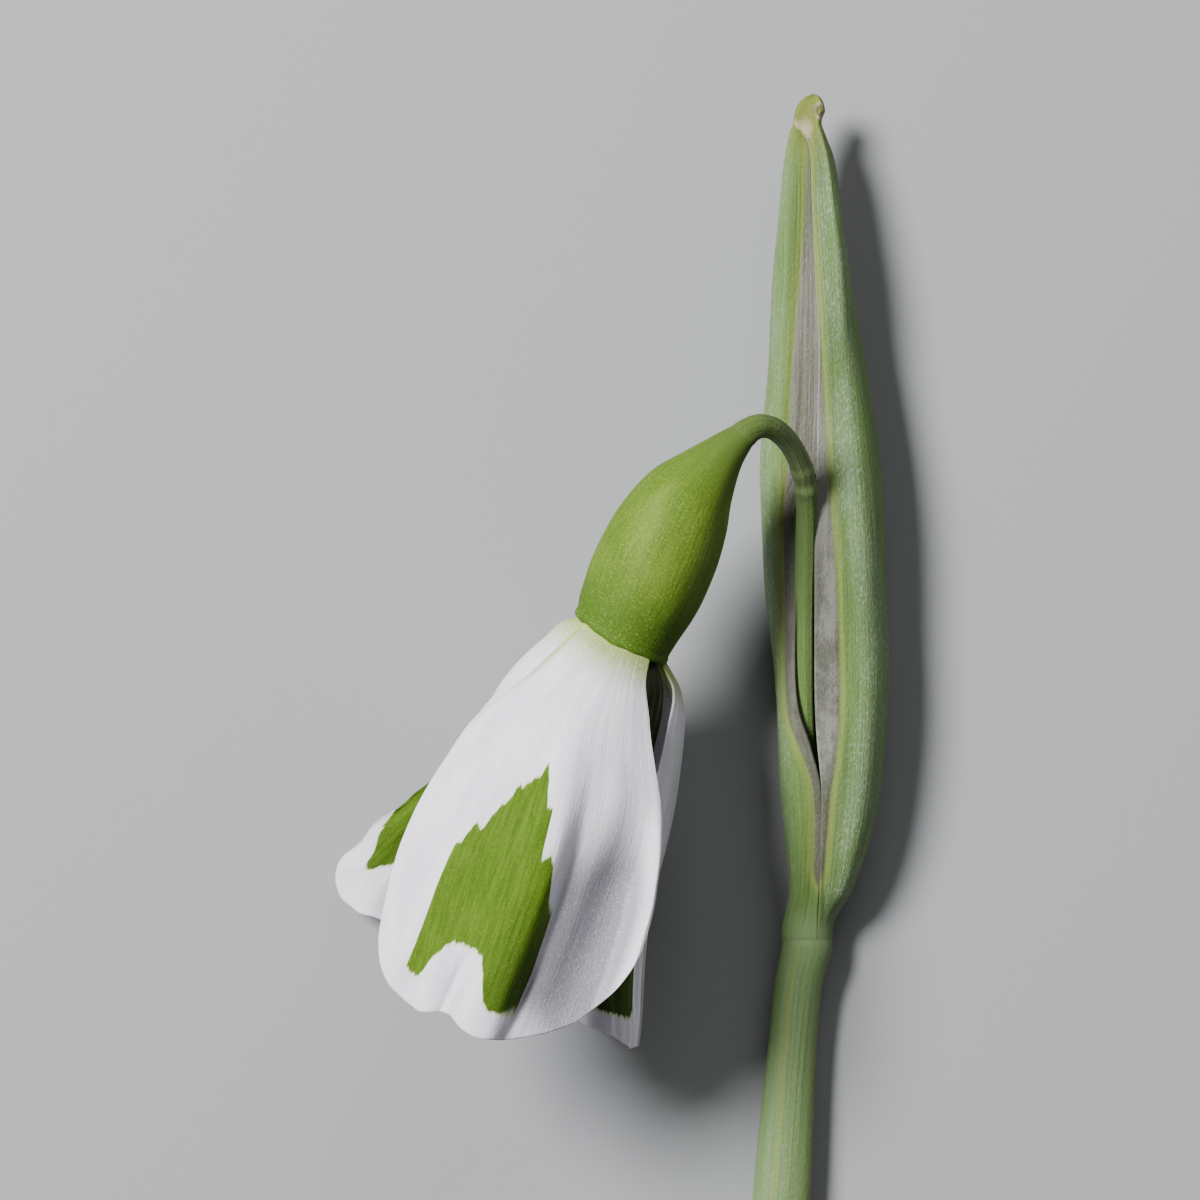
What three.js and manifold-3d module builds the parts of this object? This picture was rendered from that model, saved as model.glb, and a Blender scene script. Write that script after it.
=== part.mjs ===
// A cut snowdrop of the green-marked kind, lying on a table on its outer petals, its spathe and its cut end.
// Millimetres, +Z up. The flower lies in the XY plane as it is seen from above: +Y runs from the cut end to the
// spathe's tip, and the flower hangs on the -X side. The origin is at the middle of its box, on the table.
import * as THREE from "three";
import { mergeVertices } from "three/addons/utils/BufferGeometryUtils.js";
import Module from "manifold-3d";

const wasm = await Module();
wasm.setup();

// Place of the plant's working origin, which is level with the top of the perianth, in the part's frame
const WORK_X = -0.5;
const WORK_Y = 34.8;

// Driving sizes
const WALL = 0.6; // petals and spathe
const SEAT_GAP = 0.04; // between pieces that grow on each other
const SLIVER = 0.02; // joined solids lose details smaller than this
const PERIANTH_LEAN = 20; // degrees, the perianth's axis from -Y towards -X
const PERIANTH_DIP = 4.6; // degrees, how far its mouth points down at the table
const PERIANTH_TOP = [1.1, -1.7, 9.6]; // where the petals grow from the ovary
const OVARY_END_R = 2.55;
const JUNCTION_SLANT = 0.11; // the ovary ends lower on its +X side, and the petals' feet follow it
const JUNCTION_RISE = 0.03; // and rises more steeply on its -X side

// Plain helpers

const radians = THREE.MathUtils.degToRad;

// A smooth function of one number through [x, y] knots: Hermite spans with central-difference slopes.
function through(knots) {
  const slope = knots.map((k, i) => {
    const before = knots[Math.max(i - 1, 0)];
    const after = knots[Math.min(i + 1, knots.length - 1)];
    return (after[1] - before[1]) / (after[0] - before[0]);
  });
  return (x) => {
    const last = knots.length - 2;
    let i = 0;
    while (i < last && x > knots[i + 1][0]) i += 1;
    const [x0, y0] = knots[i];
    const [x1, y1] = knots[i + 1];
    const w = x1 - x0;
    const t = THREE.MathUtils.clamp((x - x0) / w, 0, 1);
    const s = t * t * (3 - 2 * t);
    const rise = t * (1 - t) * (1 - t) * slope[i] - t * t * (1 - t) * slope[i + 1];
    return y0 + s * (y1 - y0) + w * rise;
  };
}

const bump = (x, middle, width) => Math.exp(-(((x - middle) / width) ** 2));

function geometryOf(points, faces) {
  const made = new THREE.BufferGeometry();
  made.setAttribute("position", new THREE.Float32BufferAttribute(points.flatMap((p) => [p.x, p.y, p.z]), 3));
  made.setIndex(faces);
  let volume = 0;
  for (let i = 0; i < faces.length; i += 3) {
    const [a, b, c] = [points[faces[i]], points[faces[i + 1]], points[faces[i + 2]]];
    volume += a.dot(b.clone().cross(c));
  }
  if (volume < 0) made.setIndex(faces.map((_, i) => faces[i - (i % 3) + (2 - (i % 3))]));
  return made;
}

// A blade: the solid between an outer and an inner grid of points, split into triangles alike on both faces.
function blade(outer, inner) {
  const rows = outer.length;
  const columns = outer[0].length;
  const points = [...outer.flat(), ...inner.flat()];
  const out = (i, j) => i * columns + j;
  const inn = (i, j) => rows * columns + out(i, j);
  const faces = [];
  const quad = (a, b, c, d) => faces.push(a, b, c, a, c, d);
  for (let i = 0; i < rows - 1; i += 1) {
    for (let j = 0; j < columns - 1; j += 1) {
      quad(out(i, j), out(i, j + 1), out(i + 1, j + 1), out(i + 1, j));
      faces.push(inn(i, j), inn(i + 1, j + 1), inn(i, j + 1), inn(i, j), inn(i + 1, j), inn(i + 1, j + 1));
    }
    quad(out(i, 0), out(i + 1, 0), inn(i + 1, 0), inn(i, 0));
    quad(out(i + 1, columns - 1), out(i, columns - 1), inn(i, columns - 1), inn(i + 1, columns - 1));
  }
  for (let j = 0; j < columns - 1; j += 1) {
    quad(out(0, j + 1), out(0, j), inn(0, j), inn(0, j + 1));
    quad(out(rows - 1, j), out(rows - 1, j + 1), inn(rows - 1, j + 1), inn(rows - 1, j));
  }
  return geometryOf(points, faces);
}

// A closed body skinned over rings of points, with a fan over each end.
function skin(rings) {
  const sides = rings[0].length;
  const points = rings.flat();
  const faces = [];
  for (let i = 0; i < rings.length - 1; i += 1) {
    for (let j = 0; j < sides; j += 1) {
      const k = (j + 1) % sides;
      const [a, b, c, d] = [i * sides + j, i * sides + k, (i + 1) * sides + k, (i + 1) * sides + j];
      faces.push(a, b, c, a, c, d);
    }
  }
  const middle = (ring) => ring.reduce((sum, p) => sum.add(p), new THREE.Vector3()).divideScalar(ring.length);
  const first = points.push(middle(rings[0])) - 1;
  const last = points.push(middle(rings[rings.length - 1])) - 1;
  const end = (rings.length - 1) * sides;
  for (let j = 0; j < sides; j += 1) {
    const k = (j + 1) % sides;
    faces.push(first, k, j, last, end + j, end + k);
  }
  return geometryOf(points, faces);
}

// Rings round a smooth line. radius(t, angle) gives each ring's outline, and angle 0 points up.
function ringsAlong(points, radius, stations, sides, from = 0, to = 1) {
  const line = new THREE.CatmullRomCurve3(points.map((p) => new THREE.Vector3(...p)), false, "centripetal");
  const up = new THREE.Vector3(0, 0, 1);
  const rings = [];
  for (let i = 0; i <= stations; i += 1) {
    const t = from + ((to - from) * i) / stations;
    const at = line.getPointAt(t);
    const along = line.getTangentAt(t);
    const over = up.clone().addScaledVector(along, -up.dot(along)).normalize();
    const side = new THREE.Vector3().crossVectors(along, over);
    const ring = [];
    for (let j = 0; j < sides; j += 1) {
      const angle = (2 * Math.PI * j) / sides;
      const r = radius(t, angle);
      ring.push(at.clone().addScaledVector(over, r * Math.cos(angle)).addScaledVector(side, r * Math.sin(angle)));
    }
    rings.push(ring);
  }
  return rings;
}

function solidOf(geometry) {
  const bare = geometry.clone();
  bare.deleteAttribute("normal");
  bare.deleteAttribute("uv");
  const merged = mergeVertices(bare, 1e-4);
  const triVerts = new Uint32Array(merged.index.array);
  return new wasm.Manifold(new wasm.Mesh({ numProp: 3, vertProperties: merged.attributes.position.array, triVerts }));
}

function joined(geometries) {
  const all = geometries.map(solidOf).reduce((a, b) => a.add(b)).simplify(SLIVER);
  const mesh = all.getMesh();
  const made = new THREE.BufferGeometry();
  made.setAttribute("position", new THREE.Float32BufferAttribute(mesh.vertProperties, 3));
  made.setIndex([...mesh.triVerts]);
  return made;
}

// The perianth's own frame: a point at axial distance a from its top, at radius r and tangential distance w from
// the direction of azimuth phi, which is 0 where it faces up from the table and grows towards +X.

const LEAN = radians(PERIANTH_LEAN);
const DIP = radians(PERIANTH_DIP);
const TOP = new THREE.Vector3(...PERIANTH_TOP);
const AXIS = new THREE.Vector3(-Math.sin(LEAN) * Math.cos(DIP), -Math.cos(LEAN) * Math.cos(DIP), -Math.sin(DIP));
const ACROSS = new THREE.Vector3(Math.cos(LEAN), -Math.sin(LEAN), 0);
const FACE = new THREE.Vector3().crossVectors(ACROSS, AXIS).negate();

function inPerianth(axial, r, w, phi) {
  const across = r * Math.sin(phi) + w * Math.cos(phi);
  const slant = JUNCTION_SLANT * across - JUNCTION_RISE * Math.min(across, 0) ** 2;
  const a = axial + slant * (1 - THREE.MathUtils.smoothstep(Math.abs(axial), 0.5, 3.5));
  const outward = FACE.clone().multiplyScalar(Math.cos(phi)).addScaledVector(ACROSS, Math.sin(phi));
  const sideways = ACROSS.clone().multiplyScalar(Math.cos(phi)).addScaledVector(FACE, -Math.sin(phi));
  return TOP.clone().addScaledVector(AXIS, a).addScaledVector(outward, r).addScaledVector(sideways, w);
}

// Petals. Each is a spoon: radius(a) is its outer midline, width(a) its half width along the curve, bend(a) the
// curvature across it. v runs from -1 to 1 across, along the veins, and the veins end at a rounded, notched tip.

// Distance along the axis at the share u of the way to the outline, at the place v across
function petalLength(p, u, v) {
  const side = v < 0 ? p.sideLeft : p.sideRight;
  const square = v < 0 ? p.squareLeft : p.squareRight;
  const reach = side + (1 - side) * Math.max(1 - Math.abs(v) ** square, 0) ** (1 / square);
  const notch = p.notch * bump(v, p.notchAt, 0.13) * u ** 6;
  const scallop = p.scallop * Math.sin(p.scallops * v + p.phase) * u ** 8 * (1 - v * v);
  return p.base + (p.length - p.base) * reach * u - notch + scallop;
}

function petalSurface(p, a, v) {
  const q = v * p.width(a) * (v < 0 ? p.wideLeft(a) : p.wideRight(a));
  const bend = p.bend(a) * (v < 0 ? p.bendLeft(a) : p.bendRight(a));
  const k = Math.abs(bend) < 1e-4 ? 1e-4 : bend;
  const flare = p.flare * Math.max(Math.abs(v) - 0.55, 0) ** 2 * (v < 0 ? p.flareLeft : p.flareRight);
  const fold = p.fold * Math.sin(p.folds * v + p.phase) * Math.sin(Math.PI * Math.min(a / p.length, 1)) ** 2;
  const r = p.radius(a) - (1 - Math.cos(k * q)) / k + (flare * a) / p.length + fold;
  const w = Math.sin(k * q) / k;
  return inPerianth(a, r, w, radians(p.azimuth(a)));
}

function petalNormal(p, a, v) {
  const step = 0.002;
  const da = petalSurface(p, a + 0.02, v).sub(petalSurface(p, a - 0.02, v));
  const vv = THREE.MathUtils.clamp(v, -1 + step, 1 - step);
  const dv = petalSurface(p, a, vv + step).sub(petalSurface(p, a, vv - step));
  return new THREE.Vector3().crossVectors(dv, da).normalize();
}

function petal(p, rows, columns) {
  const outer = [];
  const inner = [];
  for (let i = 0; i <= rows; i += 1) {
    const u = i / rows;
    const outerRow = [];
    const innerRow = [];
    for (let j = 0; j <= columns; j += 1) {
      const v = Math.sin((Math.PI / 2) * ((2 * j) / columns - 1));
      const a = petalLength(p, u, v);
      const inward = petalNormal(p, a, v);
      const at = petalSurface(p, a, v).addScaledVector(inward, -p.relief(a, v));
      outerRow.push(at);
      innerRow.push(at.clone().addScaledVector(inward, WALL));
    }
    outer.push(outerRow);
    inner.push(innerRow);
  }
  return blade(outer, inner);
}

// The front petal's long fold: a ridge down its middle and a valley right of it, between the foot and the tip
function frontRelief(a, v) {
  const ease = THREE.MathUtils.smoothstep;
  const grown = ease(a, 6.5, 12.5) * (1 - 0.5 * ease(a, 17.5, 20));
  const valley = (1.05 * ease(v, 0.19, 0.4) + 0.75 * ease(v, 0.36, 0.84)) * (1 - ease(v, 0.83, 0.98));
  return (0.35 * bump(v, 0.08, 0.2) - valley) * grown;
}

const OUTER_PETAL = {
  base: SEAT_GAP,
  squareLeft: 2,
  squareRight: 2,
  relief: () => 0,
  sideLeft: 0.68,
  sideRight: 0.68,
  notch: 0.35,
  notchAt: -0.22,
  scallop: 0.1,
  scallops: 9,
  phase: 0.4,
  fold: 0.1,
  folds: 7,
  flare: 0,
  flareLeft: 1,
  flareRight: 1,
  bendLeft: () => 1,
  bendRight: () => 1,
  wideLeft: () => 1,
  wideRight: () => 1,
  width: through([[0, 1.9], [1.5, 2.55], [3.2, 3.8], [5, 5], [7, 6.1], [9, 6.8], [11.5, 7.3], [14, 7.4], [20.6, 6.7]]),
  bend: through([[0, 0.39], [1.5, 0.32], [3.2, 0.25], [5, 0.19], [8, 0.14], [12, 0.115], [16, 0.1], [20.6, 0.09]]),
};

const FRONT_PETAL = {
  ...OUTER_PETAL,
  azimuth: through([[0, -4], [2, -9], [4.5, -12], [7.5, -8], [11, -5], [16, -4.5], [20, -4.75]]),
  length: 20.4,
  squareLeft: 3.07,
  squareRight: 2.35,
  sideLeft: 0.755,
  sideRight: 0.615,
  notch: 0.34,
  notchAt: -0.174,
  wideLeft: through([[0, 1], [3.5, 1], [5.6, 1.05], [6.3, 1.05], [7.2, 1.02], [8.5, 1], [12, 1], [17, 0.92], [20, 0.92]]),
  relief: frontRelief,
  bendLeft: () => 1.05,
  flare: 5,
  flareLeft: 0.3,
  radius: through([[0, 2.55], [1.5, 3.3], [3.5, 4.4], [6, 5.4], [9, 6.3], [12, 6.95], [15, 7.2], [20.6, 7.2]]),
};

const LEFT_PETAL = {
  ...OUTER_PETAL,
  azimuth: through([[0, -108], [3, -112], [6, -121], [9, -130], [12, -140], [15, -147], [20, -151]]),
  length: 18.4,
  squareLeft: 5.5,
  squareRight: 5.5,
  sideRight: 0.515,
  notch: 0,
  phase: 1.7,
  wideLeft: through([[0, 1], [9, 0.98], [12, 0.78], [14.5, 0.56], [18, 0.48]]),
  wideRight: through([
    [0, 1.25], [1.5, 1.15], [3, 0.98], [4.5, 0.8], [5.5, 0.62], [6.5, 0.42], [7.5, 0.22], [8.7, 0.12],
    [9.5, 0.17], [10.5, 0.3], [12, 0.43], [13.5, 0.57], [15, 0.7], [16.5, 0.865], [18, 0.98],
  ]),
  bendLeft: through([[0, 1], [9, 1.05], [14, 1.6], [18, 2.1]]),
  bendRight: through([[0, 1.2], [3, 1.5], [6, 1.3], [9, 0.2], [11, -0.9], [13, -1.5], [16, -1.9], [18, -2]]),
  radius: through([
    [0, 2.53], [1, 3.12], [1.9, 3.62], [2.6, 4.15], [3.3, 4.62], [4.6, 5.1], [7.5, 5.8], [10.2, 6.5], [12.2, 7],
    [14.6, 7.4], [18, 7.7],
  ]),
};

const RIGHT_PETAL = {
  ...OUTER_PETAL,
  azimuth: () => 118,
  length: 19.8,
  squareLeft: 2.4,
  squareRight: 2.4,
  sideLeft: 0.85,
  sideRight: 0.9,
  notch: 0.1,
  phase: 3.1,
  wideLeft: through([[0, 1], [8, 0.96], [10, 0.88], [12, 0.76], [14, 0.68], [17, 0.62], [20, 0.62]]),
  bendLeft: () => 1.3,
  bendRight: through([[0, 1.15], [6, 1.5], [20, 1.45]]),
  radius: through([[0, 2.55], [0.6, 3.3], [1.7, 4.1], [3.3, 4.7], [6, 5.25], [9, 5.65], [12, 6], [15, 6.6], [18.5, 7.7], [20, 8.1]]),
};

const INNER_PETAL = {
  base: SEAT_GAP,
  squareLeft: 2,
  squareRight: 2,
  relief: () => 0,
  length: 10.6,
  sideLeft: 0.72,
  sideRight: 0.72,
  notch: 0.9,
  notchAt: 0,
  scallop: 0,
  scallops: 1,
  phase: 0,
  fold: 0,
  folds: 1,
  flare: 0,
  flareLeft: 1,
  flareRight: 1,
  bendLeft: () => 1,
  bendRight: () => 1,
  wideLeft: () => 1,
  wideRight: () => 1,
  radius: through([[0, 1.8], [1.2, 2.1], [2.5, 2.6], [4.5, 3.2], [7.5, 3.65], [10.6, 3.95]]),
  width: through([[0, 1], [2, 1.7], [4, 2.6], [7, 3.2], [10.6, 3]]),
  bend: through([[0, 0.55], [2.5, 0.4], [5, 0.32], [10.6, 0.28]]),
};
const wideRadius = through([[0, 1.8], [0.8, 2.4], [1.6, 2.9], [2.7, 3.2], [3.9, 3.35], [6, 3.55], [10.6, 3.9]]);
const INNER_PETALS = {
  right: { azimuth: () => 66, radius: wideRadius, wideLeft: () => 0.85, wideRight: () => 0.45, bendRight: () => 1.3 },
  left: { azimuth: () => -58, wideLeft: () => 0.7 },
  back: { azimuth: () => 176 },
};

// The ovary: a green capsule with a narrow neck, on a slightly curved axis that ends square to the perianth.

const OVARY_LINE = [
  [7.2, 8.27, 10.5],
  [6.2, 7.3, 10.48],
  [5.2, 6.1, 10.4],
  [4.3, 4.85, 10.28],
  [3.4, 3.2, 10.1],
  [2.25, 0.75, 9.82],
  PERIANTH_TOP,
];
const ovaryRadius = through([
  [0, 0.7],
  [0.06, 0.87],
  [0.13, 1.15],
  [0.24, 1.7],
  [0.365, 2.36],
  [0.53, 2.82],
  [0.66, 2.95],
  [0.78, 2.94],
  [0.93, 2.7],
  [1, OVARY_END_R],
]);

function ovary() {
  const rings = ringsAlong(OVARY_LINE, (t) => ovaryRadius(t), 20, 20);
  const sides = rings[0].length;
  rings.pop();
  // The last ring lies in the perianth's own plane, which the petals grow from.
  const rim = [];
  for (let j = 0; j < sides; j += 1) rim.push(inPerianth(0, OVARY_END_R, 0, (2 * Math.PI * j) / sides));
  const before = rings[rings.length - 1];
  const start = rim.reduce((best, p, i) => (p.distanceTo(before[0]) < rim[best].distanceTo(before[0]) ? i : best), 0);
  const turn = Math.sign(rim[(start + 2) % sides].distanceTo(before[sides - 2]) - rim[(start + 2) % sides].distanceTo(before[2]));
  rings.push(before.map((_, j) => rim[(start + turn * j + sides) % sides]));
  return skin(rings);
}

// The pedicel: the thread-like stalk inside the spathe, out of its slit, over in an arch and down to the ovary.

const PEDICEL_LINE = [
  [10.9, -15.25, 2.1],
  [10.85, -13.5, 2.2],
  [10.62, -9.5, 3.0],
  [10.38, -6.5, 4.0],
  [10.32, -3, 4.75],
  [10.33, 0, 5.0],
  [10.36, 3, 5.35],
  [10.35, 5.1, 6.0],
  [10.18, 6.4, 6.95],
  [9.55, 7.7, 8.4],
  [8.75, 8.5, 9.6],
  [8.05, 8.78, 10.25],
  [7.6, 8.62, 10.48],
  [7.25, 8.32, 10.52],
];
const pedicelRadius = through([[0, 0.5], [0.7, 0.52], [0.74, 0.53], [0.765, 0.6], [0.785, 0.54], [0.81, 0.59], [0.84, 0.55], [1, 0.58]]);

// The scape: a leafless stem, a little flattened, slowly twisting, cut across at its foot.

const SCAPE_LINE = [
  [10.5, -17, 1.8],
  [10.5, -17.7, 1.8],
  [10, -19.5, 1.65],
  [9.75, -23, 1.5],
  [9.25, -30, 1.35],
  [8.3, -43, 1.25],
  [7.3, -60, 1.2],
  [6.9, -78, 1.25],
  [7.1, -94.6, 1.3],
];
const scapeWidth = through([[0, 1.22], [0.03, 1.12], [0.08, 1.12], [0.17, 1.42], [0.4, 1.5], [1, 1.62]]);
const scapeDepth = through([[0, 1.05], [0.1, 0.95], [0.3, 1.05], [1, 1.25]]);

function scapeRadius(t, angle) {
  const twist = radians(THREE.MathUtils.lerp(0, 20, t));
  const c = Math.cos(angle - twist) / scapeDepth(t);
  const s = Math.sin(angle - twist) / scapeWidth(t);
  return 1 / Math.hypot(c, s);
}

// The spathe: two green keeled valves, left and right, joined by a papery membrane behind and slit in front.
// Its section at height y is a C from the free edge of the left membrane round the back to the right free edge.

const SPATHE_FOOT = -17;
const SPATHE_FLOOR = -15.3; // solid below
const SPATHE_TOP = 23.3;
const SPATHE_LEFT = through([[-17, 9.25], [-15, 9.55], [-12, 9.5], [-9, 9.25], [-4, 8.8], [2, 8.35], [7, 8.15], [12, 8.4], [19, 8.95], [23.3, 9.6]]);
const SPATHE_RIGHT = through([
  [-17, 11.75], [-15.7, 12.5], [-14, 13.15], [-11.4, 13.8], [-8.2, 14.3], [-2.5, 14.6], [3, 14.35], [7.8, 14],
  [12.35, 13.4], [14.65, 13.02], [16.9, 12.6], [19.2, 12.2], [22, 11.85], [23.3, 11.55],
]);
const SPATHE_MIDDLE = through([[-17, 1.8], [-12, 2.35], [-4, 2.7], [4, 2.75], [12, 2.85], [23.3, 3.2]]);
const SPATHE_DEPTH = through([[-17, 1.1], [-13, 2], [-8, 2.55], [0, 2.72], [6, 2.68], [12, 2.35], [18, 1.75], [23.3, 0.95]]);
// How far right the left membrane reaches, and how deep it lies: under the right margin above the pedicel's way
// out, cut back beside it, and nearly up to the right margin below.
const LEFT_EDGE_X = through([
  [-17, 10.9], [-11, 10.9], [-10.1, 10.5], [-8.8, 9.5], [-7.5, 9.15], [0, 9.15], [5.2, 9.2], [6.3, 9.7],
  [7.6, 10.6], [10, 11.3], [18, 11], [23.3, 10.8],
]);
const LEFT_EDGE_Z = through([
  [-17, 0.88], [-9, 0.86], [-5, 0.8], [0, 0.78], [3, 0.7], [5.2, 0.6], [8, 0.42], [16, 0.4], [23.3, 0.35],
]);
const RIGHT_EDGE_X = through([
  [-17, 11.4], [-10, 11.5], [-7, 11.2], [-5, 11.14], [0, 11.14], [6, 11.1], [10, 10.85], [16, 10.5],
  [23.3, 10.35],
]);

function spatheSection(y) {
  const [left, right] = [SPATHE_LEFT(y), SPATHE_RIGHT(y)];
  const centre = (left + right) / 2;
  const half = (right - left) / 2;
  const middle = SPATHE_MIDDLE(y);
  const depth = SPATHE_DEPTH(y);
  const at = (across, deep) => new THREE.Vector3(centre + half * across, middle + depth * deep, 0);
  const leftEdge = new THREE.Vector3(LEFT_EDGE_X(y), middle + depth * LEFT_EDGE_Z(y), 0);
  const rightEdge = new THREE.Vector3(RIGHT_EDGE_X(y), middle + depth * 1.02, 0);
  const leftFront = at(-0.87, 0.5);
  const rightFront = at(0.55, 0.92);
  return new THREE.CatmullRomCurve3(
    [
      leftEdge,
      leftEdge.clone().lerp(leftFront, 0.5).add(new THREE.Vector3(0, 0.05, 0)),
      leftFront,
      at(-0.96, 0.26),
      at(-0.99, -0.12),
      at(-0.86, -0.54),
      at(-0.5, -0.87),
      at(0, -1),
      at(0.5, -0.87),
      at(0.88, -0.5),
      at(1, 0),
      at(0.88, 0.52),
      rightFront,
      rightEdge.clone().lerp(rightFront, 0.5).add(new THREE.Vector3(0, 0.05, 0)),
      rightEdge,
    ],
    false,
    "centripetal",
  );
}

function spatheWall(rows, columns, low, high) {
  const outer = [];
  const inner = [];
  for (let i = 0; i <= rows; i += 1) {
    const y = low + ((high - low) * i) / rows;
    const section = spatheSection(y);
    const outerRow = [];
    const innerRow = [];
    for (let j = 0; j <= columns; j += 1) {
      const at = section.getPointAt(j / columns);
      const along = section.getTangentAt(j / columns);
      outerRow.push(new THREE.Vector3(at.x, y, at.y));
      innerRow.push(new THREE.Vector3(at.x - along.y * WALL, y, at.y + along.x * WALL));
    }
    outer.push(outerRow);
    inner.push(innerRow);
  }
  return blade(outer, inner);
}

function spatheFoot() {
  const rings = [];
  for (let i = 0; i <= 3; i += 1) {
    const y = THREE.MathUtils.lerp(SPATHE_FOOT + 0.05, SPATHE_FLOOR, i / 3);
    const centre = (SPATHE_LEFT(y) + SPATHE_RIGHT(y)) / 2;
    const half = (SPATHE_RIGHT(y) - SPATHE_LEFT(y)) / 2;
    const ring = [];
    for (let j = 0; j < 20; j += 1) {
      const angle = (2 * Math.PI * j) / 20;
      const deep = SPATHE_MIDDLE(y) + SPATHE_DEPTH(y) * Math.cos(angle);
      ring.push(new THREE.Vector3(centre + half * Math.sin(angle), y, deep));
    }
    rings.push(ring);
  }
  return skin(rings);
}

function spathe() {
  const hoodLine = [[9.95, 21.5, 3.1], [10.08, 23.2, 3.2], [10.22, 24.4, 3.3], [10.55, 25.1, 3.35], [10.95, 25.05, 3.4], [11.15, 24.6, 3.4]];
  const tipLine = [[11.1, 20.8, 3.5], [11, 22.6, 3.6], [10.8, 23.7, 3.6], [10.65, 24.1, 3.55]];
  return joined([
    spatheWall(28, 26, SPATHE_FLOOR - 0.5, SPATHE_TOP),
    spatheFoot(),
    skin(ringsAlong(hoodLine, (t) => 0.66 - 0.3 * t ** 2, 13, 9)),
    skin(ringsAlong(tipLine, (t) => 0.62 - 0.3 * t ** 2, 6, 9)),
  ]);
}

// Stamens: six pointed anthers on short threads round the style, on one ring at the end of the ovary.

const STAMEN_COUNT = 6;

function stamens() {
  const ring = new THREE.LatheGeometry(
    [[0.36, 0], [0.95, 0], [0.95, 0.45], [0.36, 0.45], [0.36, 0]].map(([r, a]) => new THREE.Vector2(r, a)), 18);
  ring.applyMatrix4(new THREE.Matrix4().makeShear(0, 0, 0, 0, 0, JUNCTION_SLANT));
  const toPerianth = new THREE.Matrix4().makeBasis(FACE, AXIS, ACROSS);
  ring.applyMatrix4(toPerianth);
  ring.translate(...inPerianth(SEAT_GAP, 0, 0, 0).toArray());
  const anther = through([[0, 0.2], [0.15, 0.2], [0.3, 0.36], [0.6, 0.36], [1, 0.08]]);
  const pieces = [ring];
  for (let i = 0; i < STAMEN_COUNT; i += 1) {
    const phi = (2 * Math.PI * (i + 0.5)) / STAMEN_COUNT;
    const line = [[0.2, 0.66], [2, 0.95], [4, 1], [6.2, 0.85]].map(([a, r]) => inPerianth(a, r, 0, phi).toArray());
    pieces.push(skin(ringsAlong(line, (t) => anther(t), 6, 5)));
  }
  return joined(pieces);
}

function style() {
  const line = [SEAT_GAP, 3, 7.4].map((a) => inPerianth(a, 0, 0, 0).toArray());
  return skin(ringsAlong(line, (t) => 0.3 - 0.08 * t, 4, 8));
}

// Colours, and the meshes

const COLOURS = {
  scape: [0x8fae74, 0.55],
  spathe: [0x93b184, 0.6],
  pedicel: [0x6f9448, 0.5],
  ovary: [0x84a848, 0.45],
  outerPetal: [0xeceaf1, 0.5],
  innerPetal: [0x7d9c4c, 0.5],
  stamen: [0xe0a032, 0.6],
  style: [0xdfe6c0, 0.5],
};

const flower = new THREE.Group();

function add(name, geometry, [color, roughness]) {
  const mesh = new THREE.Mesh(geometry, new THREE.MeshStandardMaterial({ color, roughness, metalness: 0 }));
  mesh.name = name;
  flower.add(mesh);
}

add("scape", skin(ringsAlong(SCAPE_LINE, scapeRadius, 32, 14)), COLOURS.scape);
add("spathe", spathe(), COLOURS.spathe);
add("pedicel", skin(ringsAlong(PEDICEL_LINE, (t) => pedicelRadius(t), 52, 9)), COLOURS.pedicel);
add("ovary", ovary(), COLOURS.ovary);
add("outer_petal_front", petal(FRONT_PETAL, 18, 16), COLOURS.outerPetal);
add("outer_petal_left", petal(LEFT_PETAL, 18, 16), COLOURS.outerPetal);
add("outer_petal_right", petal(RIGHT_PETAL, 18, 16), COLOURS.outerPetal);
for (const [side, own] of Object.entries(INNER_PETALS)) {
  add(`inner_petal_${side}`, petal({ ...INNER_PETAL, ...own }, 10, 10), COLOURS.innerPetal);
}
add("stamens", stamens(), COLOURS.stamen);
add("style", style(), COLOURS.style);

flower.position.set(WORK_X, WORK_Y, 0);

export default flower;
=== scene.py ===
"""Looks of a cut snowdrop on a pale table: each CAD node is replaced by a finer mesh of the same form."""
import math

import bmesh
import bpy
import numpy as np
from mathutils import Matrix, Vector


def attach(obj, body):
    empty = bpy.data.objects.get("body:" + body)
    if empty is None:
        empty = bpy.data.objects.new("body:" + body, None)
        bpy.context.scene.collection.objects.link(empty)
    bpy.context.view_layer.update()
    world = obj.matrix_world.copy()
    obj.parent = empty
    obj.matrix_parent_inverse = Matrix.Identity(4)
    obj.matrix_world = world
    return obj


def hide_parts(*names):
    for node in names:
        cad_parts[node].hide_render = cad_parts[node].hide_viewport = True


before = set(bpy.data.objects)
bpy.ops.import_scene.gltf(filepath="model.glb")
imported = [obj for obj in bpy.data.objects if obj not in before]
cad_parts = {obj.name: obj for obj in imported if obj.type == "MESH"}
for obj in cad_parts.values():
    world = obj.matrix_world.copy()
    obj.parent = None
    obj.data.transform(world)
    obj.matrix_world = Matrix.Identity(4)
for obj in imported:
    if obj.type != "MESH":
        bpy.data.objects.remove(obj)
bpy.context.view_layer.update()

MM = 0.001

# Place of the plant's working origin in the part's frame, and of the camera over it (mm)
WORK = (-0.5, 34.8, 0.0)
CAMERA_HEIGHT = 400.0
CAMERA_AIM_HEIGHT = 8.0
PHOTO_WIDTH = 60.0
SENSOR = 36.0

# The perianth's axis, as in the CAD
PERIANTH_LEAN = math.radians(20)
PERIANTH_DIP = math.radians(4.6)
PERIANTH_TOP = np.array([1.1, -1.7, 9.6])
OVARY_END_R = 2.55


# Plain helpers

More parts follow.
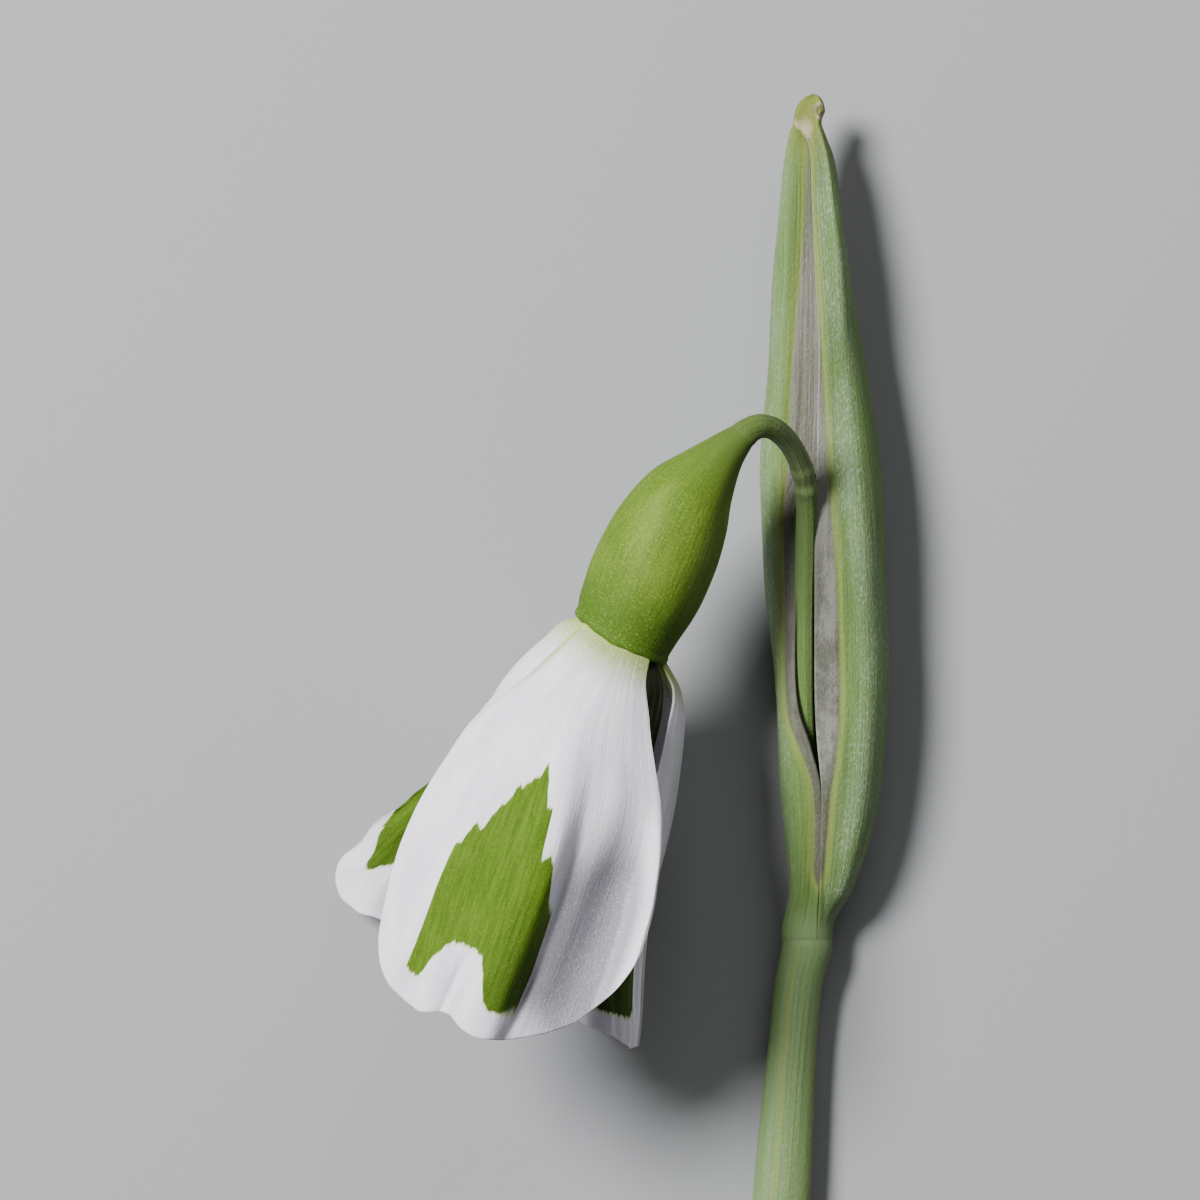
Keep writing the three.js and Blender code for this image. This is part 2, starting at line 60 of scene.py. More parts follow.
def through(knots):
    """A smooth function through knots {x: y}: Hermite spans with central-difference slopes."""
    xs = np.array(list(knots), float)
    ys = np.array(list(knots.values()), float)
    before = np.maximum(np.arange(len(xs)) - 1, 0)
    after = np.minimum(np.arange(len(xs)) + 1, len(xs) - 1)
    slope = (ys[after] - ys[before]) / (xs[after] - xs[before])

    def f(x):
        x = np.asarray(x, float)
        i = np.clip(np.searchsorted(xs, x, side="left") - 1, 0, len(xs) - 2)
        w = xs[i + 1] - xs[i]
        t = np.clip((x - xs[i]) / w, 0, 1)
        s = t * t * (3 - 2 * t)
        rise = t * (1 - t) ** 2 * slope[i] - t * t * (1 - t) * slope[i + 1]
        return ys[i] + s * (ys[i + 1] - ys[i]) + w * rise

    return f


def flat(value):
    return lambda a: value


def smooth(x, low, high):
    t = np.clip((np.asarray(x, float) - low) / (high - low), 0, 1)
    return t * t * (3 - 2 * t)


def bump(x, middle, width):
    return np.exp(-(((x - middle) / width) ** 2))


def unit(vectors):
    return vectors / np.maximum(np.linalg.norm(vectors, axis=-1, keepdims=True), 1e-12)


def ripple(x, seed, lowest, highest, waves=7):
    """A seeded sum of sines with frequencies from lowest to highest, about -1 to 1."""
    draw = np.random.default_rng(seed)
    frequencies = draw.uniform(lowest, highest, waves)
    phases = draw.uniform(0, 2 * math.pi, waves)
    total = sum(np.sin(f * x + p) for f, p in zip(frequencies, phases))
    return total / math.sqrt(waves)


# Meshes

def grid_faces(rows, columns, start=0, closed=False, turned=False):
    """Quads over a grid of rows by columns points; closed joins the last column to the first."""
    i = np.arange(rows - 1)[:, None]
    j = np.arange(columns if closed else columns - 1)[None, :]
    k = (j + 1) % columns
    quads = np.stack(np.broadcast_arrays(i * columns + j, i * columns + k, (i + 1) * columns + k,
                                         (i + 1) * columns + j), -1).reshape(-1, 4) + start
    return quads[:, ::-1] if turned else quads


def make_mesh(name, points, quads, attributes, ends=()):
    """An object from points in working millimetres, quads, fans over closed rings and point attributes."""
    points = np.asarray(points, float) + np.array(WORK)
    # Nothing reaches below the table
    points[:, 2] = np.maximum(points[:, 2], 0)
    fans = []
    for ring in ends:
        middle = len(points)
        points = np.vstack([points, points[ring].mean(0)])
        fans += [(ring[j], ring[(j + 1) % len(ring)], middle) for j in range(len(ring))]
        attributes = {k: np.append(v, v[ring].mean()) for k, v in attributes.items()}
    mesh = bpy.data.meshes.new(name + "_fine")
    mesh.from_pydata((points * MM).tolist(), [], quads.tolist() + fans)
    for key, values in attributes.items():
        layer = mesh.attributes.new(key, "FLOAT", "POINT")
        layer.data.foreach_set("value", np.asarray(values, np.float32))
    mesh.polygons.foreach_set("use_smooth", np.ones(len(mesh.polygons), bool))
    mesh.update()
    work = bmesh.new()
    work.from_mesh(mesh)
    bmesh.ops.recalc_face_normals(work, faces=work.faces)
    work.to_mesh(mesh)
    work.free()
    piece = bpy.data.objects.new(name + "_fine", mesh)
    bpy.context.scene.collection.objects.link(piece)
    return piece


def finish_piece(piece, node, material):
    piece.data.materials.append(material)
    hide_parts(node)
    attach(piece, "root")


def blade(name, outer, inner, attributes):
    """A thin closed sheet between two grids of points, with its rim stitched."""
    rows, columns = outer.shape[:2]
    count = rows * columns
    points = np.vstack([outer.reshape(-1, 3), inner.reshape(-1, 3)])
    index = np.arange(count).reshape(rows, columns)
    rim = np.concatenate([index[0, :-1], index[:-1, -1], index[-1, :0:-1], index[:0:-1, 0]])
    following = np.roll(rim, -1)
    stitch = np.stack([rim, rim + count, following + count, following], -1)
    quads = np.vstack([grid_faces(rows, columns), grid_faces(rows, columns, count, turned=True), stitch])
    both = {k: np.concatenate([v.ravel(), v.ravel()]) for k, v in attributes.items()}
    both["inside"] = np.repeat([0.0, 1.0], count)
    return make_mesh(name, points, quads, both)


LINE_POINTS = 2000


def line_through(points, stations):
    """Evenly spaced points on a smooth line, with their tangents, their share of it and its length."""
    points = np.asarray(points, float)
    chord = np.concatenate([[0], np.cumsum(np.sqrt(np.linalg.norm(np.diff(points, axis=0), axis=1)))])
    coordinates = [through(dict(zip(chord, points[:, k]))) for k in range(3)]
    fine = np.linspace(0, chord[-1], LINE_POINTS)
    dense = np.stack([c(fine) for c in coordinates], -1)
    length = np.concatenate([[0], np.cumsum(np.linalg.norm(np.diff(dense, axis=0), axis=1))])
    share = np.linspace(0, 1, stations + 1)
    at = np.stack([np.interp(share * length[-1], length, dense[:, k]) for k in range(3)], -1)
    along = unit(np.gradient(at, axis=0))
    return at, along, share, length[-1]


def rings_along(points, radius, stations, sides):
    """Rings round a smooth line; radius(t, angle) gives the outline, and angle 0 points up."""
    at, along, share, length = line_through(points, stations)
    up = np.array([0.0, 0.0, 1.0])
    over = unit(up - along * (along @ up)[:, None])
    side = np.cross(along, over)
    angle = np.linspace(0, 2 * math.pi, sides, endpoint=False)[None, :]
    t = share[:, None]
    r = radius(t, angle)[..., None]
    outward = np.cos(angle)[..., None] * over[:, None] + np.sin(angle)[..., None] * side[:, None]
    rings = at[:, None] + r * outward
    return rings, np.broadcast_to(t * length, rings.shape[:2]), np.broadcast_to(angle, rings.shape[:2])


def add_rings(rings, along, around, more):
    """A tube's rings with more of them at its end, which share the last one's distance along."""
    rings = np.concatenate([rings, np.stack(more)])
    along = np.concatenate([along, np.repeat(along[-1:], len(more), 0)])
    around = np.concatenate([around, np.repeat(around[:1], len(more), 0)])
    return rings, along, around


def tube(name, rings, along, around, extra=None):
    rows, sides = rings.shape[:2]
    attributes = {"along": along, "turn_x": np.sin(around), "turn_y": np.cos(around), **(extra or {})}
    attributes = {key: np.asarray(values).ravel() for key, values in attributes.items()}
    first = np.arange(sides)
    return make_mesh(name, rings.reshape(-1, 3), grid_faces(rows, sides, closed=True), attributes,
                     [first[::-1], first + (rows - 1) * sides])


# Shading: one class that adds nodes; a value is a socket, a number or a colour from 0 to 255

class Shade:
    def __init__(self, name, roughness=0.5, subsurface=0.0, radius=(1.0, 1.0, 1.0), reach=0.5,
                 specular=0.5):
        self.material = bpy.data.materials.new(name)
        self.material.use_nodes = True
        self.nodes = self.material.node_tree.nodes
        self.links = self.material.node_tree.links
        self.skin = self.feed_named(self.nodes["Principled BSDF"], {
            "Roughness": roughness, "Specular IOR Level": specular, "Subsurface Weight": subsurface,
            "Subsurface Radius": radius, "Subsurface Scale": reach * MM,
        })

    def put(self, kind, **settings):
        node = self.nodes.new(kind)
        for key, value in settings.items():
            setattr(node, key, value)
        return node

    def feed(self, socket, value):
        if isinstance(value, bpy.types.NodeSocket):
            self.links.new(value, socket)
        elif socket.type == "RGBA":
            socket.default_value = (*srgb(*value), 1)
        else:
            socket.default_value = value

    def fill(self, node, *values):
        """The node with its first sockets fed in order."""
        for socket, value in zip(node.inputs, values):
            self.feed(socket, value)
        return node

    def feed_named(self, node, values):
        """The node with the sockets named in values fed."""
        for name, value in values.items():
            self.feed(node.inputs[name], value)
        return node

    def attribute(self, name):
        return self.put("ShaderNodeAttribute", attribute_name=name).outputs["Fac"]

    def math(self, operation, a, b=0.0, c=0.0):
        return self.fill(self.put("ShaderNodeMath", operation=operation), a, b, c).outputs[0]

    def add(self, a, b):
        return self.math("ADD", a, b)

    def times(self, a, b):
        return self.math("MULTIPLY", a, b)

    def step(self, value, low, high, out_low=0.0, out_high=1.0):
        """value eased from low to high, as out_low to out_high."""
        node = self.put("ShaderNodeMapRange", interpolation_type="SMOOTHSTEP")
        return self.fill(node, value, low, high, out_low, out_high).outputs["Result"]

    def curve(self, value, points):
        """A curve drawn through points {x: y}."""
        low, high = min(points), max(points)
        bottom, top = min(points.values()), max(points.values())
        share = self.fill(self.put("ShaderNodeMapRange", clamp=True), value, low, high)
        node = self.put("ShaderNodeFloatCurve")
        self.feed(node.inputs["Value"], share.outputs["Result"])
        drawn = node.mapping.curves[0].points
        while len(drawn) < len(points):
            drawn.new(0.5, 0.5)
        for point, (x, y) in zip(drawn, points.items()):
            point.location = ((x - low) / (high - low), (y - bottom) / (top - bottom))
            point.handle_type = "VECTOR"
        node.mapping.update()
        return self.math("MULTIPLY_ADD", node.outputs[0], top - bottom, bottom)

    def point(self, x, y, z=0.0):
        return self.fill(self.put("ShaderNodeCombineXYZ"), x, y, z).outputs[0]

    def noise(self, where=None, scale=1, detail=2, roughness=0.5, stretch=None):
        """Noise over the points where, or else over the object's own space."""
        if where is None:
            where = self.place()
        if stretch:
            scaled = self.put("ShaderNodeVectorMath", operation="MULTIPLY")
            where = self.fill(scaled, where, stretch).outputs[0]
        node = self.feed_named(self.put("ShaderNodeTexNoise"), {
            "Vector": where, "Scale": scale, "Detail": detail, "Roughness": roughness,
        })
        return node.outputs["Fac"]

    def cells(self, where, scale):
        node = self.feed_named(self.put("ShaderNodeTexVoronoi"), {"Vector": where, "Scale": scale})
        return node.outputs["Distance"]

    def mix(self, share, a, b, blend="MIX"):
        """Two colours mixed; they are the node's sockets 6 and 7."""
        node = self.put("ShaderNodeMix", data_type="RGBA", blend_type=blend)
        self.feed(node.inputs[0], share)
        self.feed(node.inputs[6], a)
        self.feed(node.inputs[7], b)
        return node.outputs[2]

    def place(self):
        return self.put("ShaderNodeTexCoord").outputs["Object"]

    def place_on_tube(self):
        """The distance along a tube, and a point that holds it and the turn round the tube."""
        along = self.attribute("along")
        return along, self.point(self.attribute("turn_x"), along, self.attribute("turn_y"))

    def relief(self, height, distance):
        values = {"Distance": distance * MM, "Height": height}
        node = self.feed_named(self.put("ShaderNodeBump"), values)
        self.links.new(node.outputs[0], self.skin.inputs["Normal"])

    def colour(self, value):
        self.feed(self.skin.inputs["Base Color"], value)


def srgb(r, g, b):
    """A linear colour from 0 to 255 screen values."""
    return tuple(((x / 255 + 0.055) / 1.055) ** 2.4 if x > 10 else x / 3294.6 for x in (r, g, b))


# The perianth's own frame: axial distance a, radius r and tangential distance w at azimuth phi

AXIS = np.array([-math.sin(PERIANTH_LEAN) * math.cos(PERIANTH_DIP),
                 -math.cos(PERIANTH_LEAN) * math.cos(PERIANTH_DIP), -math.sin(PERIANTH_DIP)])
ACROSS = np.array([math.cos(PERIANTH_LEAN), -math.sin(PERIANTH_LEAN), 0.0])
FACE = -np.cross(ACROSS, AXIS)


def in_perianth(a, r, w, phi):
    a, r, w, phi = np.broadcast_arrays(*[np.asarray(x, float)[..., None] for x in (a, r, w, phi)])
    # The ovary's end is slanted: lower on the right, and higher still at the far left
    to_right = r * np.sin(phi) + w * np.cos(phi)
    slant = 0.11 * to_right - 0.045 * np.minimum(to_right, 0) ** 2
    a = a + slant * (1 - smooth(np.abs(a), 0.5, 3.5))
    outward = np.cos(phi) * FACE + np.sin(phi) * ACROSS
    sideways = np.cos(phi) * ACROSS - np.sin(phi) * FACE
    return PERIANTH_TOP + a * AXIS + r * outward + w * sideways


# Petals: a is the distance along the axis in mm, and v the place across, from -1 at the left edge to 1

STEP_ALONG = 0.02
SOFT_FOLD = 0.05
FINE_LINE = 0.022
# The fold depth, in mm, at which the painted shade is full
DEEPEST_DIP = 1.8
# Measured in v
STEP_ACROSS = 0.002
VEIN_WANDER = 0.008
NOTCH_WIDTH = 0.13
FLARE_FROM = 0.55
# Per mm, the least curvature, so that nothing is divided by 0
LEAST_BEND = 1e-4


def petal_length(p, u, v):
    """Distance a along the axis at the share u of the way to the outline, at the place v across."""
    side = np.where(v < 0, p["side_left"], p["side_right"])
    square = np.where(v < 0, p["square_left"], p["square_right"])
    reach = side + (1 - side) * np.maximum(1 - np.abs(v) ** square, 0) ** (1 / square)
    notch = p["notch"] * bump(v, p["notch_at"], NOTCH_WIDTH) * u ** 6
    scallop = p["scallop"] * np.sin(p["scallops"] * v + p["phase"]) * u ** 8 * (1 - v * v)
    fine = p["frill"] * ripple(v, p["seed"], 15, 40) * u ** 12
    return p["base"] + (p["length"] - p["base"]) * reach * u - notch + scallop + fine


def petal_surface(p, a, v):
    """Points of the petal's outer face, without its folds."""
    is_left = v < 0
    margin = smooth(np.abs(v), 0.6, 1) * smooth(a, 4, 10)
    wavy = 1 + p["wave"] * ripple(a + 3 * v, p["seed"] + 4, 1.2, 3.2) * margin
    q = v * wavy * p["width"](a) * np.where(is_left, p["wide_left"](a), p["wide_right"](a))
    k = p["bend"](a) * np.where(is_left, p["bend_left"](a), p["bend_right"](a))
    k = np.where(np.abs(k) < LEAST_BEND, LEAST_BEND, k)
    flare = p["flare"] * np.maximum(np.abs(v) - FLARE_FROM, 0) ** 2
    flare = flare * np.where(is_left, p["flare_left"], 1)
    middle = np.sin(math.pi * np.clip(a / p["length"], 0, 1)) ** 2
    fold = p["fold"] * np.sin(p["folds"] * v + p["phase"]) * middle
    tuck = p["tuck"] * (1 - smooth(a, 0.3, 1.3))
    r = p["radius"](a) - tuck - (1 - np.cos(k * q)) / k + flare * a / p["length"] + fold
    w = np.sin(k * q) / k
    return in_perianth(a, r, w, np.radians(p["azimuth"](a)))


def inward(p, a, v):
    """Unit normals from the petal's outer face to its inner one."""
    da = petal_surface(p, a + STEP_ALONG, v) - petal_surface(p, a - STEP_ALONG, v)
    limited = np.clip(v, STEP_ACROSS - 1, 1 - STEP_ACROSS)
    dv = petal_surface(p, a, limited + STEP_ACROSS) - petal_surface(p, a, limited - STEP_ACROSS)
    return unit(np.cross(dv, da))


# side is the outline's reach at an edge, as a share, and square how full its corners are; bend is the
# curvature across; wide scales a half's width; tuck draws the foot in; rim is the margin's thickness
OUTER_PETAL = dict(
    base=-0.1, square_left=2, square_right=2, side_left=0.68, side_right=0.68, notch=0.35, notch_at=-0.22,
    scallop=0.1, scallops=9, phase=0.4, fold=0.1, folds=7, frill=0.03, flare=0, flare_left=1,
    bend_left=flat(1), bend_right=flat(1), wide_left=flat(1), wide_right=flat(1), wave=0.003, tuck=0.34,
    thick=0.4, rim=0.12, lowest_vein=18, highest_vein=62, vein_depth=0.004,
    width=through({0: 1.9, 1.5: 2.55, 3.2: 3.8, 5: 5, 7: 6.1, 9: 6.8, 11.5: 7.3, 14: 7.4, 20.6: 6.7}),
    bend=through({0: 0.39, 1.5: 0.32, 3.2: 0.25, 5: 0.19, 8: 0.14, 12: 0.115, 16: 0.1, 20.6: 0.09}),
)


def front_relief(v, a):
    """Soft folds of the front petal: a ridge by the mark, a valley right of it, and creases at the tip."""
    ridge = 0.35 * bump(v, 0.08, 0.2) * smooth(a, 3, 8)
    deep = smooth(a, 6.5, 12.5) * (1 - 0.5 * smooth(a, 17.5, 20))
    fall = 1.05 * smooth(v, 0.15, 0.36) + 0.75 * smooth(v, 0.36, 0.84)
    valley = -fall * (1 - smooth(v, 0.83, 0.98)) * deep
    rim = 0.1 * bump(v, 0.95, 0.04) * smooth(a, 6, 11)
    fold = -0.05 * bump(v, 0.3, 0.08) * smooth(a, 5, 8) * (1 - smooth(a, 10, 12))
    left_dip = -0.15 * bump(v, -0.55, 0.16) * smooth(a, 6, 11)
    tip = smooth(a, 15.5, 18.5)
    crease = -0.19 * bump(v, -0.2 - 0.012 * (a - 17), 0.035) * tip
    second = -0.16 * bump(v, 0.33 - 0.02 * (a - 18), 0.04) * tip
    lobe = 0.3 * bump(v, -0.4, 0.11) * tip + 0.18 * bump(v, 0.0, 0.1) * tip
    return ridge + valley + rim + fold + left_dip + crease + second + lobe


def right_relief(v, a):
    """Softer folds of the right petal."""
    ridge = 0.25 * bump(v, 0, 0.3)
    dips = 0.25 * bump(v, 0.42, 0.15) + 0.2 * bump(v, -0.45, 0.15)
    return smooth(a, 3, 9) * (ridge - dips) - 0.15 * smooth(a, 12, 17) * bump(v, 0.12, 0.05)


def left_relief(v, a):
    """A low ridge, a puffy margin and one shallow crease at the tip."""
    margin = 0.15 * bump(v, 0.75, 0.2) - 0.08 * bump(v, 0.5, 0.08)
    return 0.2 * smooth(a, 3, 9) * bump(v, 0, 0.3) + smooth(a, 12, 16) * margin


def inner_relief(v, a):
    """A ribbed middle with a groove on each side."""
    return 0.12 * bump(v, 0, 0.2) - 0.12 * bump(np.abs(v), 0.45, 0.15)


FRONT_PETAL = dict(
    OUTER_PETAL, seed=11, length=20.4, square_left=3.07, square_right=2.35, side_left=0.755,
    side_right=0.615, notch=0.34, notch_at=-0.174, flare=5, flare_left=0.3, bend_left=flat(1.05),
    relief=front_relief,
    wide_left=through({
        0: 1, 3.5: 1, 5.3: 1.05, 5.9: 1.085, 6.5: 1.075, 7.2: 1.04, 8.5: 1, 12: 1, 17: 0.92, 20: 0.92,
    }),
    azimuth=through({0: -4, 2: -9, 4.5: -12, 7.5: -8, 11: -5, 16: -4.5, 20: -4.75}),
    radius=through({0: 2.55, 1.5: 3.3, 3.5: 4.4, 6: 5.4, 9: 6.3, 12: 6.95, 15: 7.2, 20.6: 7.2}),
)
LEFT_PETAL = dict(
    OUTER_PETAL, seed=23, length=18.42, square_left=5.5, square_right=5.5, side_right=0.515, phase=1.7,
    notch=0, scallop=0.05, wave=0.02, relief=left_relief,
    wide_left=through({0: 1, 9: 0.98, 12: 0.78, 14.5: 0.56, 18: 0.48}),
    wide_right=through({
        0: 1.45, 1.5: 1.4, 3: 1.22, 4.5: 0.9, 5.5: 0.66, 6.5: 0.42, 7.5: 0.22, 8.7: 0.12, 9.5: 0.17,
        10.5: 0.3, 12: 0.43, 13.5: 0.57, 15: 0.7, 16.5: 0.865, 18: 0.98,
    }),
    azimuth=through({0: -108, 3: -112, 6: -121, 9: -130, 12: -140, 15: -147, 20: -151}),
    bend_left=through({0: 1, 9: 1.05, 14: 1.6, 18: 2.1}),
    bend_right=through({0: 1.35, 3: 1.5, 6: 1.3, 9: 0.2, 11: -0.9, 13: -1.5, 16: -1.9, 18: -2}),
    radius=through({
        0: 2.45, 1: 3.05, 1.9: 3.6, 2.6: 4.15, 3.3: 4.62, 4.6: 5.1, 6.3: 5.43, 7.5: 5.72, 10.2: 6.5,
        12.2: 7, 14.6: 7.4, 18: 7.7,
    }),
)
RIGHT_PETAL = dict(
    OUTER_PETAL, seed=37, length=19.8, square_left=2.4, square_right=2.4, side_left=0.85, side_right=0.9,
    phase=3.1, notch=0.1, scallop=0.06, azimuth=flat(118), relief=right_relief,
    wide_left=through({0: 1, 8: 0.96, 10: 0.88, 12: 0.76, 14: 0.68, 17: 0.62, 20: 0.62}),
    bend_left=flat(1.3),
    bend_right=through({0: 1.15, 6: 1.5, 20: 1.45}),
    radius=through({
        0: 2.55, 0.6: 3.3, 1.7: 4.1, 3.3: 4.7, 6: 5.25, 9: 5.65, 12: 6, 15: 6.6, 18.5: 7.7, 20: 8.1,
    }),
)
PETALS = {"front": FRONT_PETAL, "left": LEFT_PETAL, "right": RIGHT_PETAL}

INNER_PETAL = dict(
    OUTER_PETAL, base=-0.05, length=10.6, side_left=0.72, side_right=0.72, notch=0.9, notch_at=0, scallop=0,
    fold=0, frill=0.01, wave=0, tuck=0, thick=0.45, rim=0.16, lowest_vein=10, highest_vein=30,
    vein_depth=0.03, relief=inner_relief,
    width=through({0: 1, 2: 1.7, 4: 2.6, 7: 3.2, 10.6: 3}),
    bend=through({0: 0.55, 2.5: 0.4, 5: 0.32, 10.6: 0.28}),
    radius=through({0: 1.8, 1.2: 2.1, 2.5: 2.6, 4.5: 3.2, 7.5: 3.65, 10.6: 3.95}),
)
WIDE_RADIUS = through({0: 1.8, 0.8: 2.4, 1.6: 2.9, 2.7: 3.2, 3.9: 3.4, 6: 3.6, 10.6: 3.9})
INNER_PETALS = {
    "right": dict(azimuth=flat(66), radius=WIDE_RADIUS, wide_left=flat(0.85), wide_right=flat(0.45),
                  bend_right=flat(1.3)),
    "left": dict(azimuth=flat(-58), wide_left=flat(0.7)),
    "back": dict(azimuth=flat(176)),
}
# Rows along and columns across
PETAL_GRIDS = {"front": (230, 210), "left": (190, 150), "right": (190, 150)}
INNER_PETAL_GRID = (70, 60)


def petal(name, p, rows, columns, material, slot):
    u = np.linspace(0, 1, rows + 1)[:, None] * np.ones((1, columns + 1))
    v = np.sin(math.pi / 2 * np.linspace(-1, 1, columns + 1))[None, :] * np.ones((rows + 1, 1))
    a = petal_length(p, u, v)
    at = petal_surface(p, a, v)
    normal = inward(p, a, v)
    wandering = VEIN_WANDER * ripple(u * 6, p["seed"] + 1, 0.5, 2)
    veins = ripple(v + wandering, p["seed"] + 2, p["lowest_vein"], p["highest_vein"], 24)
    folds = p["relief"](v, a)
    relief = folds + p["vein_depth"] * veins * smooth(u, 0.02, 0.15) * (1 - 0.5 * u ** 3)
    relief += SOFT_FOLD * ripple(v * 3 + u * 1.5, p["seed"] + 3, 1.5, 5) * smooth(u, 0.1, 0.6)
    relief += FINE_LINE * ripple(v + 0.05 * u, p["seed"] + 5, 9, 20) * smooth(u, 0.15, 0.5)
    edge = np.maximum(smooth(np.abs(v), 0.7, 1), smooth(u, 0.86, 1))
    thickness = p["thick"] + (p["rim"] - p["thick"]) * edge
    outer = at - normal * relief[..., None]
    inner = outer + normal * thickness[..., None]
    # Painted shade: a mask of how deep the folds sink, which greys the petal there
    painted_fold_shade = np.clip(-folds, 0, DEEPEST_DIP) / DEEPEST_DIP
    piece = blade(name, outer, inner, {"vein": v, "along": a, "share": u, "painted_fold_shade": painted_fold_shade})
    finish_piece(piece, name, material)


# Each mark's upper and lower border: {place across: mm along the petal}
FRONT_TOP = {
    -0.66: 19, -0.63: 18, -0.575: 15, -0.53: 12.2, -0.5: 11.9, -0.43: 10.6, -0.38: 10.9, -0.33: 9.85,
    -0.22: 8.25, -0.08: 7.45, -0.045: 6.75, 0.015: 8.2, 0.03: 8.55, 0.075: 8.75, 0.08: 10.6, 0.09: 11.1,
    0.17: 11, 0.19: 11.85, 0.225: 13.15, 0.285: 13.3, 0.295: 14.6, 0.33: 19.1,
}
FRONT_FOOT = {
    -0.66: 18.2, -0.6: 18.8, -0.54: 18.9, -0.49: 18.6, -0.455: 17.85, -0.39: 17.15, -0.32: 16.55,
    -0.15: 16.5, -0.07: 16.7, 0.0: 17.9, 0.05: 18.7, 0.1: 19.05, 0.3: 18.95, 0.305: 18, 0.31: 16.6,
    0.315: 15.3, 0.33: 14.6,
}
LEFT_TOP = {-0.6: 16, -0.5: 12, -0.2: 9, 0.2: 8.6, 0.6: 9, 0.8: 9.6, 0.9: 10, 1: 10.4}
LEFT_FOOT = {
    -0.6: 14.5, -0.2: 14.8, 0.4: 14.9, 0.5: 15.1, 0.57: 15.3, 0.64: 15.75, 0.7: 16.15, 0.74: 16,
    0.79: 15.05, 0.88: 13.95, 0.95: 13.3, 1: 12.8,
}
RIGHT_TOP = {-0.62: 17.5, -0.58: 15.5, -0.55: 14.2, -0.4: 13, 0: 11.5, 0.3: 11, 0.6: 12.5, 0.7: 16}
RIGHT_FOOT = {
    -0.62: 16.5, -0.56: 17.6, -0.45: 18.1, -0.2: 18.4, 0.1: 18.6, 0.27: 18.8, 0.45: 18.6, 0.55: 17.9,
    0.62: 16.5, 0.7: 14.5,
}
MARKS = {"front": (FRONT_TOP, FRONT_FOOT), "left": (LEFT_TOP, LEFT_FOOT), "right": (RIGHT_TOP, RIGHT_FOOT)}
# The right petal's mark gets painted shade
LOOKS = {"front": {"is_front": 1.0}, "left": {}, "right": {"painted_mark_shade": 0.6}}


def outer_petal_material(name, seed, mark_top, mark_foot, painted_mark_shade=0.0, is_front=0.0):
    s = Shade(name, roughness=0.7, subsurface=0.15, radius=(1.0, 0.95, 0.9), reach=0.4, specular=0.06)
    vein = s.attribute("vein")
    along = s.attribute("along")
    where = s.point(vein, along, seed)
    # The green mark, with its edges drawn out along the veins
    columns = s.noise(where, detail=3, roughness=0.65, stretch=(26, 0.18, 1))
    top = s.math("MULTIPLY_ADD", columns, 1.3, -0.65)
    foot = s.math("MULTIPLY_ADD", columns, 0.7, -0.35)
    below_top = s.math("SUBTRACT", s.add(along, top), s.curve(vein, mark_top))
    above_foot = s.math("SUBTRACT", s.curve(vein, mark_foot), s.add(along, foot))
    depth = s.math("MINIMUM", below_top, above_foot)
    # The front petal's mark has a soft border low on the right
    soft = s.times(s.step(vein, 0.18, 0.26, 0, is_front), s.step(along, 12.5, 14.5))
    mark = s.step(s.math("DIVIDE", depth, s.math("MULTIPLY_ADD", soft, 2.5, 1)), -0.02, 0.16)
    halo = s.step(depth, -0.24, 0.12)
    streak = s.noise(where, detail=4, roughness=0.7, stretch=(38, 0.35, 1))
    broad = s.noise(where, stretch=(7, 0.25, 1))
    green = s.mix(s.step(streak, 0.3, 0.7), (62, 90, 12), (86, 115, 28))
    # Painted shade: the mark darker low on its right, beside the valley
    painted_low_right_shade = s.times(s.step(vein, -0.1, 0.25), s.step(along, 12, 17))
    green = s.mix(s.times(painted_low_right_shade, 0.6), green, (50, 72, 20))
    # Painted shade: the mark darkened toward olive, used on the right petal
    green = s.mix(painted_mark_shade, green, (34, 44, 16))
    # White, a little lavender, with faint darker lines and a yellow-green foot
    white = s.mix(s.step(broad, 0.3, 0.75), (216, 214, 226), (232, 231, 237))
    white = s.mix(s.step(streak, 0.52, 0.76, 0, 0.5), white, (202, 203, 214))
    base = s.math("SUBTRACT", 1, s.step(s.math("MULTIPLY_ADD", streak, -1.8, along), -0.5, 1.9))
    white = s.mix(s.times(base, 0.9), white, (150, 170, 62))
    white = s.mix(s.times(halo, 0.6), white, (190, 200, 104))
    # The front petal's left shoulder is tinted too
    shoulder = s.times(s.step(vein, -0.99, -0.8, 1, 0), s.step(along, 2.2, 5, 0.85, 0))
    white = s.mix(s.times(shoulder, is_front), white, (160, 172, 84))
    colour = s.mix(mark, white, green)
    # Painted shade: the petal greyer where its folds sink in
    painted_fold_shade = s.step(s.attribute("painted_fold_shade"), 0.08, 0.7, 0, 0.85)
    colour = s.mix(painted_fold_shade, colour, (158, 156, 157), "MULTIPLY")
    # Cells that glint, more on the white than on the mark
    grain = s.noise(scale=9000, roughness=0.7)
    glint = s.mix(mark, (255, 255, 255), (170, 196, 90))
    shine = s.math("MULTIPLY_ADD", mark, -0.16, 0.3)
    colour = s.mix(s.times(s.step(grain, 0.52, 0.72), shine), colour, glint)
    s.colour(s.mix(s.times(s.step(grain, 0.45, 0.25), 0.14), colour, (130, 136, 120)))
    fine = s.noise(scale=7000)
    lines = s.noise(where, roughness=0.6, stretch=(60, 0.3, 1))
    s.relief(s.add(fine, s.times(lines, 1.2)), 0.02)
    return s.material


